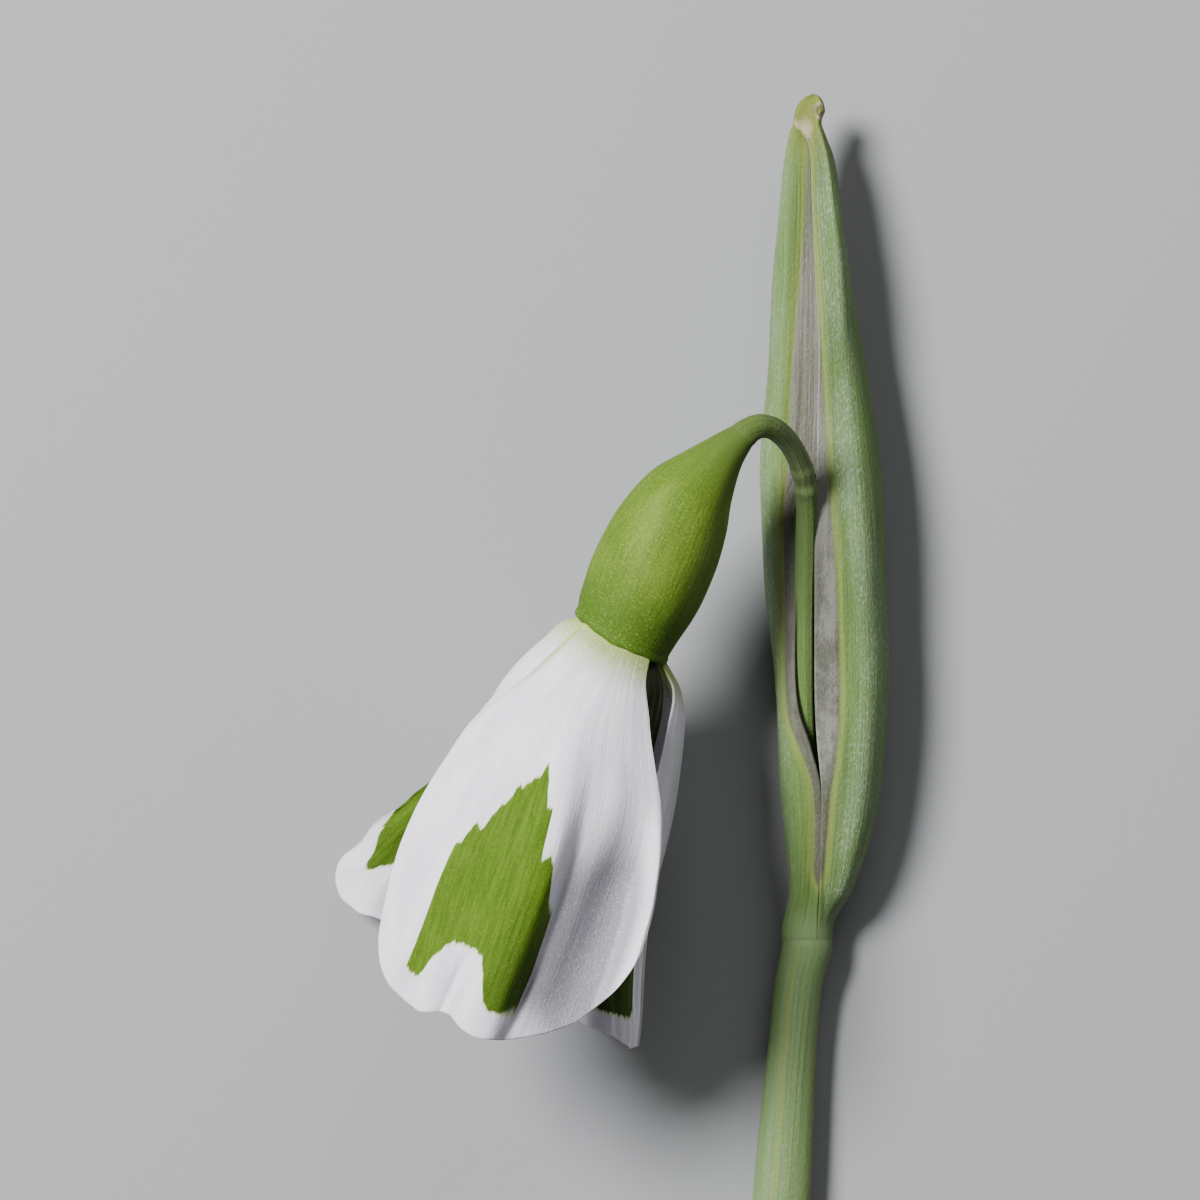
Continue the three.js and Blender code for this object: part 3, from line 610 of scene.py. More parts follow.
def inner_petal_material():
    s = Shade("inner_petal", roughness=0.45, subsurface=0.25, radius=(0.9, 1.0, 0.6), reach=0.4,
              specular=0.35)
    vein = s.attribute("vein")
    along = s.attribute("along")
    where = s.point(vein, along, 3.0)
    streak = s.noise(where, detail=3, roughness=0.65, stretch=(14, 0.3, 1))
    # Painted shade: the green mark darkened to deep olive, for the shade deep inside the flower
    green = s.mix(s.step(streak, 0.35, 0.7), (30, 42, 6), (56, 72, 18))
    edge = s.add(s.math("ABSOLUTE", vein), s.times(streak, 0.25))
    rim = s.times(s.step(along, 6.5, 8.5), s.step(edge, 0.86, 1.02))
    tip = s.step(s.add(s.attribute("share"), s.times(streak, 0.12)), 0.93, 1)
    s.colour(s.mix(s.math("MAXIMUM", rim, tip), green, (232, 234, 226)))
    s.relief(s.noise(where, stretch=(30, 0.4, 1)), 0.05)
    return s.material


# The ovary

OVARY_LINE = [
    [7.2, 8.27, 10.5], [6.2, 7.3, 10.48], [5.2, 6.1, 10.4], [4.3, 4.85, 10.28], [3.4, 3.2, 10.1],
    [2.25, 0.75, 9.82], list(PERIANTH_TOP),
]
OVARY_RADIUS = through({
    0: 0.66, 0.06: 0.87, 0.13: 1.15, 0.24: 1.7, 0.365: 2.36, 0.53: 2.82, 0.66: 2.95, 0.78: 2.94,
    0.93: 2.7, 1: OVARY_END_R,
})


# Rings past the ovary's end: [mm along the axis, mm past the end's radius, share of the lip's waves]
OVARY_LIP = [[0.1, 0.03, 0.5], [0.22, 0.05, 1], [0.33, 0.03, 1], [0.41, -0.04, 1], [0.44, -0.14, 1],
             [0.4, -0.27, 0.5], [0.2, -0.7, 0], [0.05, -1.6, 0]]
OVARY_GRID = (220, 200)


def ovary(material):
    rows, sides = OVARY_GRID
    angle = np.linspace(0, 2 * math.pi, sides, endpoint=False)
    ribs = 0.012 * np.sin(9 * angle + 0.7) + 0.035 * np.cos(3 * angle + 0.4)

    def radius(t, around):
        fine = 0.004 * ripple(around * 6, 54, 5, 14, 16) + ribs[None, :]
        ribbing = fine * smooth(t, 0.05, 0.35) * (1 - 0.7 * smooth(t, 0.85, 0.98))
        return OVARY_RADIUS(t) + ribbing

    rings, along, around = rings_along(OVARY_LINE, radius, rows, sides)
    # Azimuths of the last ring's points, counted from the one nearest to azimuth 0
    target = in_perianth(0, OVARY_END_R, 0, np.zeros(1))[0]
    start = int(np.argmin(np.linalg.norm(rings[-1] - target, axis=1)))
    to_start = rings[-1][start] - PERIANTH_TOP
    to_next = rings[-1][(start + 1) % sides] - PERIANTH_TOP
    phi = (angle[start] - angle) * np.sign(np.dot(np.cross(to_start, to_next), AXIS))
    # The last rings turn into the perianth's plane, round over the lip and close inside
    share = np.linspace(0, 1, rows + 1)
    length = along[-1, 0]
    rounds = zip(share, OVARY_RADIUS(share))
    in_plane = [in_perianth((t - 1) * length, r + 0 * angle, 0, phi) for t, r in rounds]
    flatten = smooth(share, 0.86, 1)[:, None, None]
    rings = rings * (1 - flatten) + np.stack(in_plane) * flatten
    wave = 0.04 * (np.sin(5 * angle + 1) + 0.6 * np.sin(13 * angle))
    lip = [in_perianth(down + wave * k, OVARY_END_R + out, 0, phi) for down, out, k in OVARY_LIP]
    piece = tube("ovary", *add_rings(rings, along, around, lip))
    finish_piece(piece, "ovary", material)


def ovary_material():
    s = Shade("ovary", roughness=0.6, subsurface=0.15, radius=(0.8, 1.0, 0.4), reach=0.5, specular=0.1)
    along, where = s.place_on_tube()
    streak = s.noise(where, detail=4, roughness=0.7, stretch=(24, 0.5, 24))
    broad = s.noise(where, stretch=(1.6, 0.2, 1.6))
    colour = s.mix(s.step(streak, 0.3, 0.72), (74, 100, 24), (94, 120, 38))
    colour = s.mix(s.step(broad, 0.35, 0.7, 0, 0.5), colour, (118, 140, 54))
    colour = s.mix(s.step(along, 0, 4, 0.95, 0), colour, (78, 98, 40))
    colour = s.mix(s.step(along, 8.6, 11, 0, 0.75), colour, (62, 92, 22))
    # Cells: the light specks are painted glints, the darker specks are texture
    grain = s.noise(scale=9500, roughness=0.7)
    grown = s.step(along, 0.5, 5, 0.15, 1)
    colour = s.mix(s.times(s.step(grain, 0.52, 0.75), s.times(grown, 0.4)), colour, (160, 180, 84))
    s.colour(s.mix(s.times(s.step(grain, 0.48, 0.25), s.times(grown, 0.4)), colour, (52, 76, 14)))
    s.relief(s.add(s.noise(scale=7000), s.times(streak, 1.2)), 0.018)
    return s.material


# The pedicel

PEDICEL_LINE = [
    [10.9, -15.25, 2.1], [10.85, -13.5, 2.2], [10.62, -9.5, 3.0], [10.38, -6.5, 4.0], [10.32, -3, 4.75],
    [10.33, 0, 5.0], [10.36, 3, 5.35], [10.35, 5.1, 6.0], [10.18, 6.4, 6.95], [9.55, 7.7, 8.4],
    [8.75, 8.47, 9.6], [8.05, 8.65, 10.2], [7.58, 8.52, 10.42], [7.15, 8.22, 10.5], [6.9, 7.98, 10.5],
]
PEDICEL_RADIUS = through({
    0: 0.5, 0.7: 0.52, 0.73: 0.53, 0.75: 0.6, 0.77: 0.54, 0.793: 0.59, 0.82: 0.55, 0.93: 0.57,
    0.97: 0.64, 0.985: 0.7, 1: 0.7,
})
# Distances along the pedicel of its two pale rings
RING_PLACES = (21.6, 22.85)
PEDICEL_GRID = (420, 40)


def pedicel(material):
    def radius(t, around):
        return PEDICEL_RADIUS(t) + 0.012 * np.sin(9 * around + 3 * t) + 0.006 * ripple(around * 4, 61, 4, 9)

    piece = tube("pedicel", *rings_along(PEDICEL_LINE, radius, *PEDICEL_GRID))
    finish_piece(piece, "pedicel", material)


def pedicel_material():
    s = Shade("pedicel", roughness=0.55, subsurface=0.15, radius=(0.8, 1.0, 0.4), reach=0.4, specular=0.15)
    along, where = s.place_on_tube()
    streak = s.noise(where, detail=3, roughness=0.65, stretch=(7, 0.25, 7))
    colour = s.mix(s.step(streak, 0.32, 0.7), (88, 104, 60), (116, 132, 90))
    colour = s.mix(s.step(along, 20, 22.5, 0.7, 0), colour, (96, 122, 62))
    for place in RING_PLACES:
        away = s.math("ABSOLUTE", s.math("SUBTRACT", along, place))
        colour = s.mix(s.step(away, 0.08, 0.4, 0.5, 0), colour, (126, 148, 88))
    s.colour(s.mix(s.step(along, 24, 28.5, 0, 0.95), colour, (78, 98, 40)))
    s.relief(s.add(s.noise(scale=6000), s.times(streak, 2.0)), 0.04)
    return s.material


# The scape

SCAPE_LINE = [
    [10.5, -17.05, 1.8], [10.5, -17.6, 1.79], [10.3, -18.5, 1.73], [10.05, -19.7, 1.64],
    [9.75, -23, 1.5], [9.25, -30, 1.35], [8.3, -43, 1.25], [7.3, -60, 1.2], [6.9, -78, 1.25],
    [7.1, -94.6, 1.3],
]
SCAPE_WIDTH = through({
    0: 1.18, 0.003: 1.26, 0.007: 1.28, 0.02: 1.21, 0.04: 1.17, 0.07: 1.18, 0.17: 1.42, 0.4: 1.5,
    1: 1.62,
})
SCAPE_DEPTH = through({0: 1.02, 0.003: 1.09, 0.007: 1.1, 0.03: 1.02, 0.1: 0.97, 0.3: 1.05, 1: 1.25})
SCAPE_TWIST = math.radians(20)
SCAPE_GRID = (420, 120)
# The cut end's rings: [share of the last ring's size, mm of rise, share of pith]
SCAPE_CUT = [[0.985, -0.02, 0], [0.93, -0.03, 0.3], [0.8, 0, 0.8], [0.6, 0.02, 1], [0.3, 0.03, 1]]
# Yellowish ridges: [degrees round from the top, width in radians]
SCAPE_RIDGES = [[25, 0.2], [-80, 0.35]]


def scape(material):
    def radius(t, around):
        turned = around - SCAPE_TWIST * t
        oval = 1 / np.hypot(np.cos(turned) / SCAPE_DEPTH(t), np.sin(turned) / SCAPE_WIDTH(t))
        sharp = bump(np.sin(turned), 1, 0.12) + bump(np.sin(turned), -1, 0.12)
        edges = 0.04 * sharp * smooth(t, 0.01, 0.04)
        lines = 0.0025 * ripple(around * 6 + 0.5 * t, 71, 3, 10, 14)
        return (oval + edges + lines) * (1 - 0.02 * smooth(t, 0.997, 1))

    rings, along, around = rings_along(SCAPE_LINE, radius, *SCAPE_GRID)
    middle = rings[-1].mean(0)
    cut = [middle + (rings[-1] - middle) * k + np.array([0, rise, 0]) for k, rise, _ in SCAPE_CUT]
    rings, along, around = add_rings(rings, along, around, cut)
    ridge = np.zeros(rings.shape[:2])
    for turn, width in SCAPE_RIDGES:
        away = np.angle(np.exp(1j * (around - math.radians(turn))))
        ridge = np.maximum(ridge, bump(away, 0, width))
    pith = np.zeros(rings.shape[:2])
    pith[-len(SCAPE_CUT):] = np.array([share for _, _, share in SCAPE_CUT])[:, None]
    piece = tube("scape", rings, along, around, {"pith": pith, "ridge": ridge})
    finish_piece(piece, "scape", material)


def scape_material():
    s = Shade("scape", roughness=0.5, subsurface=0.15, radius=(0.8, 1.0, 0.5), reach=0.6, specular=0.25)
    along, where = s.place_on_tube()
    streak = s.noise(where, detail=4, roughness=0.7, stretch=(9, 0.12, 9))
    broad = s.noise(where, stretch=(2, 0.08, 2))
    colour = s.mix(s.step(streak, 0.3, 0.7), (98, 122, 74), (112, 136, 90))
    colour = s.mix(s.step(broad, 0.4, 0.65, 0, 0.4), colour, (108, 130, 72))
    yellow = s.add(s.attribute("ridge"), s.times(s.math("SUBTRACT", streak, 0.5), 0.6))
    colour = s.mix(s.times(s.step(yellow, 0.25, 0.9), 0.5), colour, (128, 138, 68))
    speck = s.noise(detail=4, roughness=0.75, stretch=(11000, 4000, 11000))
    colour = s.mix(s.step(speck, 0.5, 0.7, 0, 0.3), colour, (146, 166, 130))
    colour = s.mix(s.step(along, 0.1, 2.6, 1, 0), colour, (108, 132, 84))
    dots = s.math("LESS_THAN", s.cells(s.place(), 2600), 0.3)
    cut = s.mix(dots, (196, 208, 150), (150, 172, 96))
    s.colour(s.mix(s.attribute("pith"), colour, cut))
    s.relief(s.add(s.noise(scale=5000), s.times(streak, 1.5)), 0.03)
    return s.material


# The spathe: a C-shaped section from the left membrane's free edge round the back to the right one's

SPATHE_FOOT = -17.5
SPATHE_SHOULDER = 21.5
SPATHE_TOP = 25.55
SPATHE_APEX_X = 10.85
DOME_LENGTH = 1.2
# Rows up to the shoulder and rows over the tip, columns round, and the section's last station
SPATHE_ROWS = (226, 75)
SPATHE_COLUMNS = 160
LAST_STATION = 14
# The foot's oval round the scape, and the hollow in the hooded tip
COLLAR_CENTRE = (10.5, 1.8)
COLLAR_HALF = (1.31, 1.12)
HOLLOW_CENTRE = (11.12, 24.72)
HOLLOW_HALF = (0.24, 0.34)
SPATHE_LEFT = through({
    -17: 9.25, -15: 9.55, -12: 9.5, -9: 9.25, -4: 8.8, 2: 8.35, 7: 8.17, 12: 8.52, 17: 8.92,
    19.75: 9.12, 21.75: 9.26, 22.7: 9.38, 23.6: 9.58, 24.2: 9.8, 25.25: 9.83,
})
SPATHE_RIGHT = through({
    -17: 11.75, -15.7: 12.5, -14: 13.15, -11.4: 13.8, -8.2: 14.3, -2.5: 14.6, 3: 14.35, 7.8: 14,
    12.35: 13.4, 14.65: 13.02, 16.9: 12.6, 19.2: 12.2, 21.45: 11.92, 22.6: 11.7, 23.5: 11.4, 24.1: 11.2,
    24.45: 11.28, 24.75: 11.42, 25.5: 11.45,
})
SPATHE_MIDDLE = through({-17: 1.8, -12: 2.35, -4: 2.7, 4: 2.75, 12: 2.85, 23.3: 3.25, 25.25: 3.4})
SPATHE_DEPTH = through({
    -17: 1.1, -13: 2, -8: 2.55, 0: 2.72, 6: 2.68, 12: 2.35, 18: 1.75, 22: 1.2, 23.3: 0.95, 24.2: 0.78,
    25.25: 0.78,
})
LEFT_EDGE_X = through({
    -17: 10.95, -13: 11.15, -9.5: 11.12, -7.5: 10.62, -5.8: 10.05, -4.5: 9.87, 0: 9.86, 3: 9.86,
    4.9: 9.88, 5.6: 10.3, 6.3: 10.9, 7.4: 11.15, 8.6: 11.2, 10: 11.25, 18: 11, 22.5: 10.8, 25.25: 10.8,
})
LEFT_EDGE_Z = through({
    -17: 0.8, -13: 0.76, -9.5: 0.78, -7: 0.88, -5: 0.9, 0: 0.92, 3: 0.78, 5.2: 0.62, 8: 0.44, 12: 0.5,
    16: 0.55, 22: 0.5, 25.25: 0.4,
})
RIGHT_EDGE_X = through({
    -17: 11.1, -15: 11.12, -12: 11.15, -9.5: 11.15, -7: 10.92, -5: 10.82, 0: 10.78, 3: 10.8, 6: 10.9,
    10: 10.98, 13: 11.02, 16: 10.88, 20: 10.72, 22: 10.66, 22.8: 10.6, 23.1: 10.5, 23.35: 10.35,
    23.6: 10.15, 24: 10.05, 25.25: 10.2,
})
RIGHT_EDGE_Z = through({-17: 1.02, 22.8: 1.02, 23.3: 0.95, 23.7: 0.78, 24.2: 0.7, 25.25: 0.7})
# Where the green valves end and their papery margins begin, seen from above
LEFT_BORDER = through({
    -17: 10.4, -14: 10.72, -12: 10.8, -9.5: 10.7, -8.4: 10.4, -7: 9.9, -5.5: 9.5, -2: 9.22, 3: 9.2,
    7.5: 9.5, 10: 9.6, 13.5: 9.83, 17: 10.16, 19.5: 10.36, 22.5: 10.45, 23.5: 10.65, 24: 11.5,
})
RIGHT_BORDER = through({
    -17: 11.3, -14: 11.32, -12: 11.45, -10: 11.6, -8: 11.88, -6: 12.05, -4: 12.08, 0: 11.92, 3: 11.75,
    6: 11.5, 10: 11.28, 13: 11.1, 16: 10.9, 20: 10.68, 22.2: 10.58, 23: 10.6, 23.6: 10.5, 24: 10.5,
    24.3: 11,
})
WAX_LINE = through({-17: 12, -10: 13.1, -5: 13.75, 0: 13.6, 5: 12.7, 10: 12.3, 16: 11.8, 24: 11})
FOOT_TURN = through({
    0: -25, 1: 12, 2: 50, 3: 75, 4: 97, 5: 122, 6: 150, 7: 180, 8: 210, 9: 240, 10: 270, 11: 297,
    12: 318, 13: 328, 14: 336,
})


def dome(y):
    """The section's size over the tip, as a share: nearly closed at the top."""
    past = np.clip(y - SPATHE_TOP + DOME_LENGTH, 0, DOME_LENGTH)
    return np.sqrt(1 - (past / (DOME_LENGTH + 0.002)) ** 2)


def spathe_section(y, c):
    """Points (x, z) at heights y and stations c: the free edges are 0 and 14, and the back is 7."""
    left, right = SPATHE_LEFT(y), SPATHE_RIGHT(y)
    centre, half = (left + right) / 2, (right - left) / 2
    middle, depth = SPATHE_MIDDLE(y), SPATHE_DEPTH(y)

    def at(across, deep):
        return np.stack([centre + half * across, middle + depth * deep], -1)

    left_edge = np.stack([LEFT_EDGE_X(y), middle + depth * LEFT_EDGE_Z(y)], -1)
    right_edge = np.stack([RIGHT_EDGE_X(y), middle + depth * RIGHT_EDGE_Z(y)], -1)
    high = 0.14 * smooth(y, 12, 20)
    left_front, right_front = at(-0.76, 0.62), at(0.66 + high, 0.88)
    lift = np.stack([0 * y, 0.03 * depth], -1)
    stack = np.stack([
        left_edge, (left_edge + left_front) / 2 + lift, left_front, at(-0.96, 0.26), at(-0.99, -0.12),
        at(-0.86, -0.54), at(-0.5, -0.87), at(0, -1), at(0.5, -0.87), at(0.88, -0.5), at(1, 0),
        at(0.93 + high / 3, 0.5), right_front, (right_edge + right_front) / 2 + lift, right_edge,
    ])
    station = np.arange(LAST_STATION + 1)
    slope = (stack[np.minimum(station + 1, LAST_STATION)] - stack[np.maximum(station - 1, 0)]) / 2
    slope[0] *= 2
    slope[-1] *= 2
    i = np.clip(np.floor(c).astype(int), 0, LAST_STATION - 1)
    t = (c - i)[..., None]
    row = np.arange(len(y))[:, None]
    start, end = stack[i, row], stack[i + 1, row]
    leaving, arriving = slope[i, row], slope[i + 1, row]
    bent = leaving * t * (1 - t) ** 2 - arriving * t * t * (1 - t)
    section = start * (1 + 2 * t) * (1 - t) ** 2 + end * t * t * (3 - 2 * t) + bent
    # The tip closes in a dome
    apex = np.stack([SPATHE_APEX_X + 0 * y, middle], -1)[:, None]
    section = apex + (section - apex) * dome(y)[:, None, None]
    # The foot hugs the scape
    turn = np.radians(FOOT_TURN(c))
    dive = 0.09 * (1 - smooth(y, -17.5, -17.0))[:, None]
    collar_x = COLLAR_CENTRE[0] - (COLLAR_HALF[0] - dive) * np.sin(turn)
    collar_z = COLLAR_CENTRE[1] + (COLLAR_HALF[1] - dive) * np.cos(turn)
    hug = 1 - smooth(y, -17.4, -14.8)[:, None, None]
    return section * (1 - hug) + np.stack([collar_x, collar_z], -1) * hug


def spathe(material):
    low_rows, tip_rows = SPATHE_ROWS
    low = np.linspace(SPATHE_FOOT, SPATHE_SHOULDER, low_rows)
    rise = np.sin(math.pi / 2 * np.linspace(0, 1, tip_rows))
    heights = np.concatenate([low, (SPATHE_SHOULDER + (SPATHE_TOP - SPATHE_SHOULDER) * rise)[1:]])
    c, y = np.meshgrid(np.linspace(0, LAST_STATION, SPATHE_COLUMNS + 1), heights)
    x, z = np.moveaxis(spathe_section(heights, c), -1, 0)
    grid = np.stack([x, y, z], -1)
    inside = unit(np.cross(np.gradient(grid, axis=1), np.gradient(grid, axis=0)))
    # How far each point lies in a papery margin: of the left valve, the right valve and the back
    left = np.where(c < 4, x - LEFT_BORDER(y), -5)
    right = np.where(c > 10.3, RIGHT_BORDER(y) - x, -5)
    back = 0.7 * (0.8 - np.abs(c - 7))
    pale = np.maximum(np.maximum(left, right), back)
    pale = pale - 1.6 * (1 - smooth(y, -16.8, -13.5)) - 1.2 * smooth(y, 24, 24.6)
    papery = smooth(pale, -0.1, 0.5)
    tip = smooth(y, 22.5, 23.8)
    foot = 1 - smooth(y, -17.4, -15.4)
    below_tip = 1 - smooth(y, 15, 20)
    wax = np.where(c > 10, bump(x, WAX_LINE(y), 0.85), bump(c, 3.3, 1.1))
    lines = 0.007 * ripple(c * 6 + 0.03 * y, 81, 3, 9, 16) * (1 - 0.7 * papery)
    keel = 0.08 * (bump(c, 4, 0.16) + bump(c, 10.6, 0.16)) * smooth(y, -16, -12) * (1 - smooth(y, 14, 20))
    ridge = 0.05 * bump(c, 12.2, 0.2) * smooth(y, 12, 20)
    groove = -0.05 * (bump(left, -0.05, 0.1) + bump(right, -0.05, 0.12)) * below_tip * (1 - foot)
    wrinkles = 0.012 * ripple(c * 3 + 0.05 * y, 82, 2, 8) * papery
    swell = 0.06 * ripple(y * 0.35 + c * 0.6, 83, 0.7, 2.5) * (1 - foot) * (1 - tip)
    grown = (lines + keel + ridge + groove + wrinkles + swell) * (1 - 0.8 * foot)
    # At the tip: a hollow, a torn flap on the left and a bead along the right free edge
    off_x, off_y = (x - HOLLOW_CENTRE[0]) / HOLLOW_HALF[0], (y - HOLLOW_CENTRE[1]) / HOLLOW_HALF[1]
    hollow = np.where(c > 10, np.exp(-(off_x ** 2 + off_y ** 2) ** 1.5), 0)
    lower = smooth(y + x + 0.05 * np.sin(14 * x), 33.8, 33.88)
    flap = lower * (1 - smooth(y, 23.8, 24.6)) * (1 - smooth(x, 10.5, 10.95)) * (np.abs(c - 7) > 3)
    bead = bump(c, LAST_STATION, 0.25) * tip
    relief = grown - 0.16 * hollow + 0.05 * bead + 0.05 * flap
    thickness = ((0.5 - 0.36 * papery) * (1 - 0.75 * tip) * (1 - foot) + 0.03 * foot) * dome(y)
    outer = grid - inside * relief[..., None]
    inner = outer + inside * thickness[..., None]
    attributes = {"around": c, "along": y, "pale": pale, "wax": wax, "hollow": hollow, "flap": flap}
    piece = blade("spathe", outer, inner, attributes)
    finish_piece(piece, "spathe", material)


def spathe_material():
    s = Shade("spathe", roughness=0.55, subsurface=0.12, radius=(0.9, 1.0, 0.7), reach=0.5, specular=0.2)
    around = s.attribute("around")
    along = s.attribute("along")
    pale = s.attribute("pale")
    where = s.point(around, along, s.attribute("inside"))
    streak = s.noise(where, detail=4, roughness=0.7, stretch=(7, 0.16, 1))
    broad = s.noise(where, stretch=(1.3, 0.1, 1))
    speck = s.noise(detail=4, roughness=0.75, stretch=(11000, 4200, 11000))
    patch = s.noise(detail=3, stretch=(900, 260, 900))
    green = s.mix(s.step(streak, 0.3, 0.7), (76, 102, 44), (100, 128, 66))
    green = s.mix(s.step(broad, 0.4, 0.7, 0, 0.5), green, (94, 120, 50))
    bloom = s.times(s.attribute("wax"), s.step(patch, 0.3, 0.65, 0.35, 1))
    green = s.mix(s.times(bloom, 0.65), green, (120, 142, 106))
    flecks = s.times(s.step(speck, 0.49, 0.64), s.step(bloom, 0.1, 0.7, 0.16, 0.8))
    green = s.mix(flecks, green, (146, 166, 134))
    # Grey papery margins, mottled darker low beside the slit and dull where they meet at its foot
    membrane = s.mix(s.step(streak, 0.3, 0.72), (98, 98, 82), (124, 122, 112))
    near_slit = s.times(s.step(around, 0.15, 0.75, 1, 0), s.step(along, 6, 9))
    membrane = s.mix(s.times(near_slit, 0.7), membrane, (146, 141, 138))
    low = s.times(s.step(along, -15, -13), s.step(along, 1, 5, 1, 0))
    blotch = s.noise(detail=4, roughness=0.6, stretch=(620, 380, 620))
    mottle = s.times(low, s.step(blotch, 0.38, 0.54))
    membrane = s.mix(s.step(blotch, 0.42, 0.6, 0.25, 0), membrane, (84, 84, 72))
    right_side = s.step(around, 10.5, 11.5)
    membrane = s.mix(s.times(right_side, 0.5), membrane, (140, 140, 134))
    membrane = s.mix(s.times(mottle, 0.7), membrane, (74, 76, 64))
    membrane = s.mix(s.step(along, -11.5, -9, 0.6, 0), membrane, (74, 74, 54))
    membrane = s.mix(s.times(s.step(speck, 0.5, 0.7), 0.25), membrane, (170, 168, 164))
    edge = s.math("MULTIPLY_ADD", s.math("SUBTRACT", streak, 0.5), 0.12, pale)
    line = s.times(s.step(edge, -0.5, -0.12), s.step(edge, 0, 0.1, 1, 0))
    green = s.mix(s.times(line, 0.6), green, (128, 138, 70))
    colour = s.mix(s.step(edge, -0.08, 0.12), green, membrane)
    # The tip turns straw yellow and cream
    high = s.math("MULTIPLY_ADD", s.math("SUBTRACT", streak, 0.5), 1.5, along)
    colour = s.mix(s.step(high, 21, 25, 0, 0.8), colour, (116, 122, 42))
    patches = s.math("SUBTRACT", s.noise(scale=1800, detail=3), 0.5)
    flap = s.step(s.math("MULTIPLY_ADD", patches, 1.2, s.attribute("flap")), 0.1, 1.1)
    colour = s.mix(s.times(flap, 0.85), colour, (166, 158, 126))
    hollow = s.attribute("hollow")
    colour = s.mix(s.times(s.step(hollow, 0.01, 0.2), 0.6), colour, (172, 158, 136))
    # Painted shade: the inside of the hollow darker olive
    colour = s.mix(s.step(hollow, 0.3, 0.7, 0, 0.9), colour, (104, 104, 52))
    s.colour(s.mix(s.step(along, -17.1, -14.5, 1, 0), colour, (108, 132, 84)))
    s.relief(s.add(s.noise(scale=6000), s.times(streak, 1.5)), 0.035)
    return s.material


# Stamens and style

STAMENS = 6
STAMEN_GRID = (40, 20)
# [mm along the axis, mm from it]
STAMEN_LINE = [[0.0, 0.66], [2, 0.95], [4, 1], [6.25, 0.85]]
STAMEN_RADIUS = through({0: 0.17, 0.15: 0.16, 0.28: 0.34, 0.6: 0.34, 0.9: 0.16, 1: 0.03})
STYLE_LINE = [0.0, 3, 7.4]
STYLE_RADIUS = 0.3
STYLE_TAPER = 0.1


def stamens(material):
    def radius(t, around):
        return STAMEN_RADIUS(t) * (1 - 0.14 * smooth(t, 0.2, 0.35) * bump(np.cos(around), 1, 0.25))

    points, quads, distances, ends, count = [], [], [], [], 0
    for i in range(STAMENS):
        phi = 2 * math.pi * (i + 0.5) / STAMENS
        line = [in_perianth(a, r, 0, np.array(phi)) for a, r in STAMEN_LINE]
        rings, along, _ = rings_along(line, radius, *STAMEN_GRID)
        rows, sides = rings.shape[:2]
        first = count + np.arange(sides)
        points.append(rings.reshape(-1, 3))
        quads.append(grid_faces(rows, sides, count, closed=True))
        distances.append(along.ravel())
        ends += [first[::-1], first + (rows - 1) * sides]
        count += rows * sides
    along = np.concatenate(distances)
    piece = make_mesh("stamens", np.vstack(points), np.vstack(quads), {"along": along}, ends)
    finish_piece(piece, "stamens", material)


def stamen_material():
    s = Shade("stamen", roughness=0.6, subsurface=0.1, radius=(1.0, 0.6, 0.2), reach=0.3)
    pale = s.step(s.attribute("along"), 1, 1.8, 1, 0)
    grain = s.noise(scale=6000, detail=3)
    orange = s.mix(s.step(grain, 0.35, 0.7), (206, 130, 30), (238, 180, 70))
    s.colour(s.mix(pale, orange, (226, 230, 190)))
    s.relief(grain, 0.06)
    return s.material


def style(material):
    def radius(t, around):
        return STYLE_RADIUS - STYLE_TAPER * t

    line = [in_perianth(a, 0, 0, np.array(0.0)) for a in STYLE_LINE]
    piece = tube("style", *rings_along(line, radius, *STAMEN_GRID))
    finish_piece(piece, "style", material)


def style_material():
    s = Shade("style", roughness=0.45, subsurface=0.2, radius=(0.9, 1.0, 0.6), reach=0.4)
    s.colour(s.mix(s.noise(scale=2500), (214, 224, 168), (236, 240, 216)))
    return s.material


# Everything

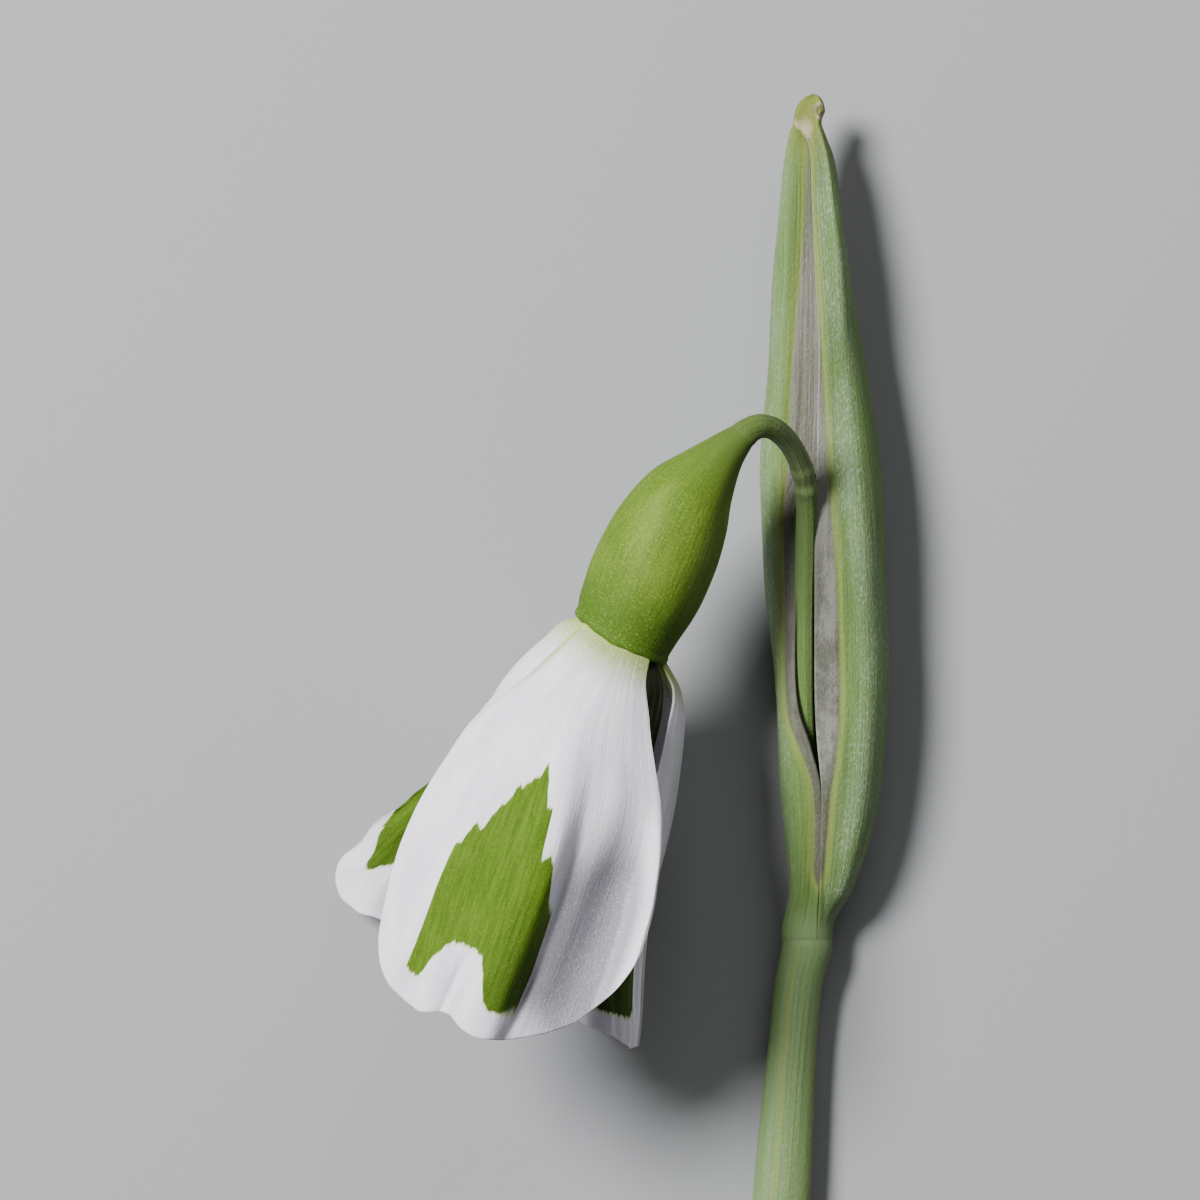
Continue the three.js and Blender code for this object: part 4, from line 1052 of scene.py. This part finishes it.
for seed, (side, spec) in enumerate(PETALS.items()):
    rows, columns = PETAL_GRIDS[side]
    material = outer_petal_material(f"outer_petal_{side}", 3.0 + seed, *MARKS[side], **LOOKS[side])
    petal(f"outer_petal_{side}", spec, rows, columns, material, "outer_petal")
inner_material = inner_petal_material()
for seed, (side, own) in enumerate(INNER_PETALS.items()):
    spec = {**INNER_PETAL, **own, "seed": 91 + seed}
    petal(f"inner_petal_{side}", spec, *INNER_PETAL_GRID, inner_material, "inner_petal")
ovary(ovary_material())
pedicel(pedicel_material())
scape(scape_material())
spathe(spathe_material())
stamens(stamen_material())
style(style_material())


# Table and lamps, in metres, and camera; a lamp is [name, place from the middle, size, watts]

TABLE_SIZE = 2.0
TABLE_DROP = 0.00002
LAMPS = [["key", (-0.29, 0.18, 0.41), 0.2, 7.4], ["fill", (0.12, 0.42, 0.4), 0.4, 0.8]]
SKY_COLOUR = (0.96, 0.97, 1.0, 1.0)
SKY_STRENGTH = 0.1


def table():
    bpy.ops.mesh.primitive_plane_add(size=TABLE_SIZE, location=(0, 0, -TABLE_DROP))
    plane = bpy.context.object
    plane.name = "table"
    s = Shade("table", roughness=0.7, specular=0.3)
    s.colour((150, 151, 153))
    plane.data.materials.append(s.material)


def soft_light(name, place, aim, size, watts):
    light = bpy.data.lights.new(name, "AREA")
    light.shape = "DISK"
    light.size = size
    light.energy = watts
    lamp = bpy.data.objects.new(name, light)
    lamp.location = place
    lamp.rotation_euler = (aim - place).to_track_quat("-Z", "Y").to_euler()
    bpy.context.scene.collection.objects.link(lamp)


table()
middle = Vector((WORK[0] * MM, WORK[1] * MM, CAMERA_AIM_HEIGHT * MM))
for name, place, size, watts in LAMPS:
    soft_light(name, middle + Vector(place), middle, size, watts)
world = bpy.data.worlds.new("studio")
world.use_nodes = True
sky = world.node_tree.nodes["Background"].inputs
sky["Color"].default_value = SKY_COLOUR
sky["Strength"].default_value = SKY_STRENGTH
bpy.context.scene.world = world

lens = bpy.data.cameras.new("camera")
lens.sensor_width = SENSOR
lens.lens = SENSOR * CAMERA_HEIGHT / PHOTO_WIDTH
lens.clip_start = 0.01
lens.clip_end = 10
eye = bpy.data.objects.new("camera", lens)
eye.location = middle + Vector((0, 0, CAMERA_HEIGHT * MM))
bpy.context.scene.collection.objects.link(eye)
bpy.context.scene.camera = eye
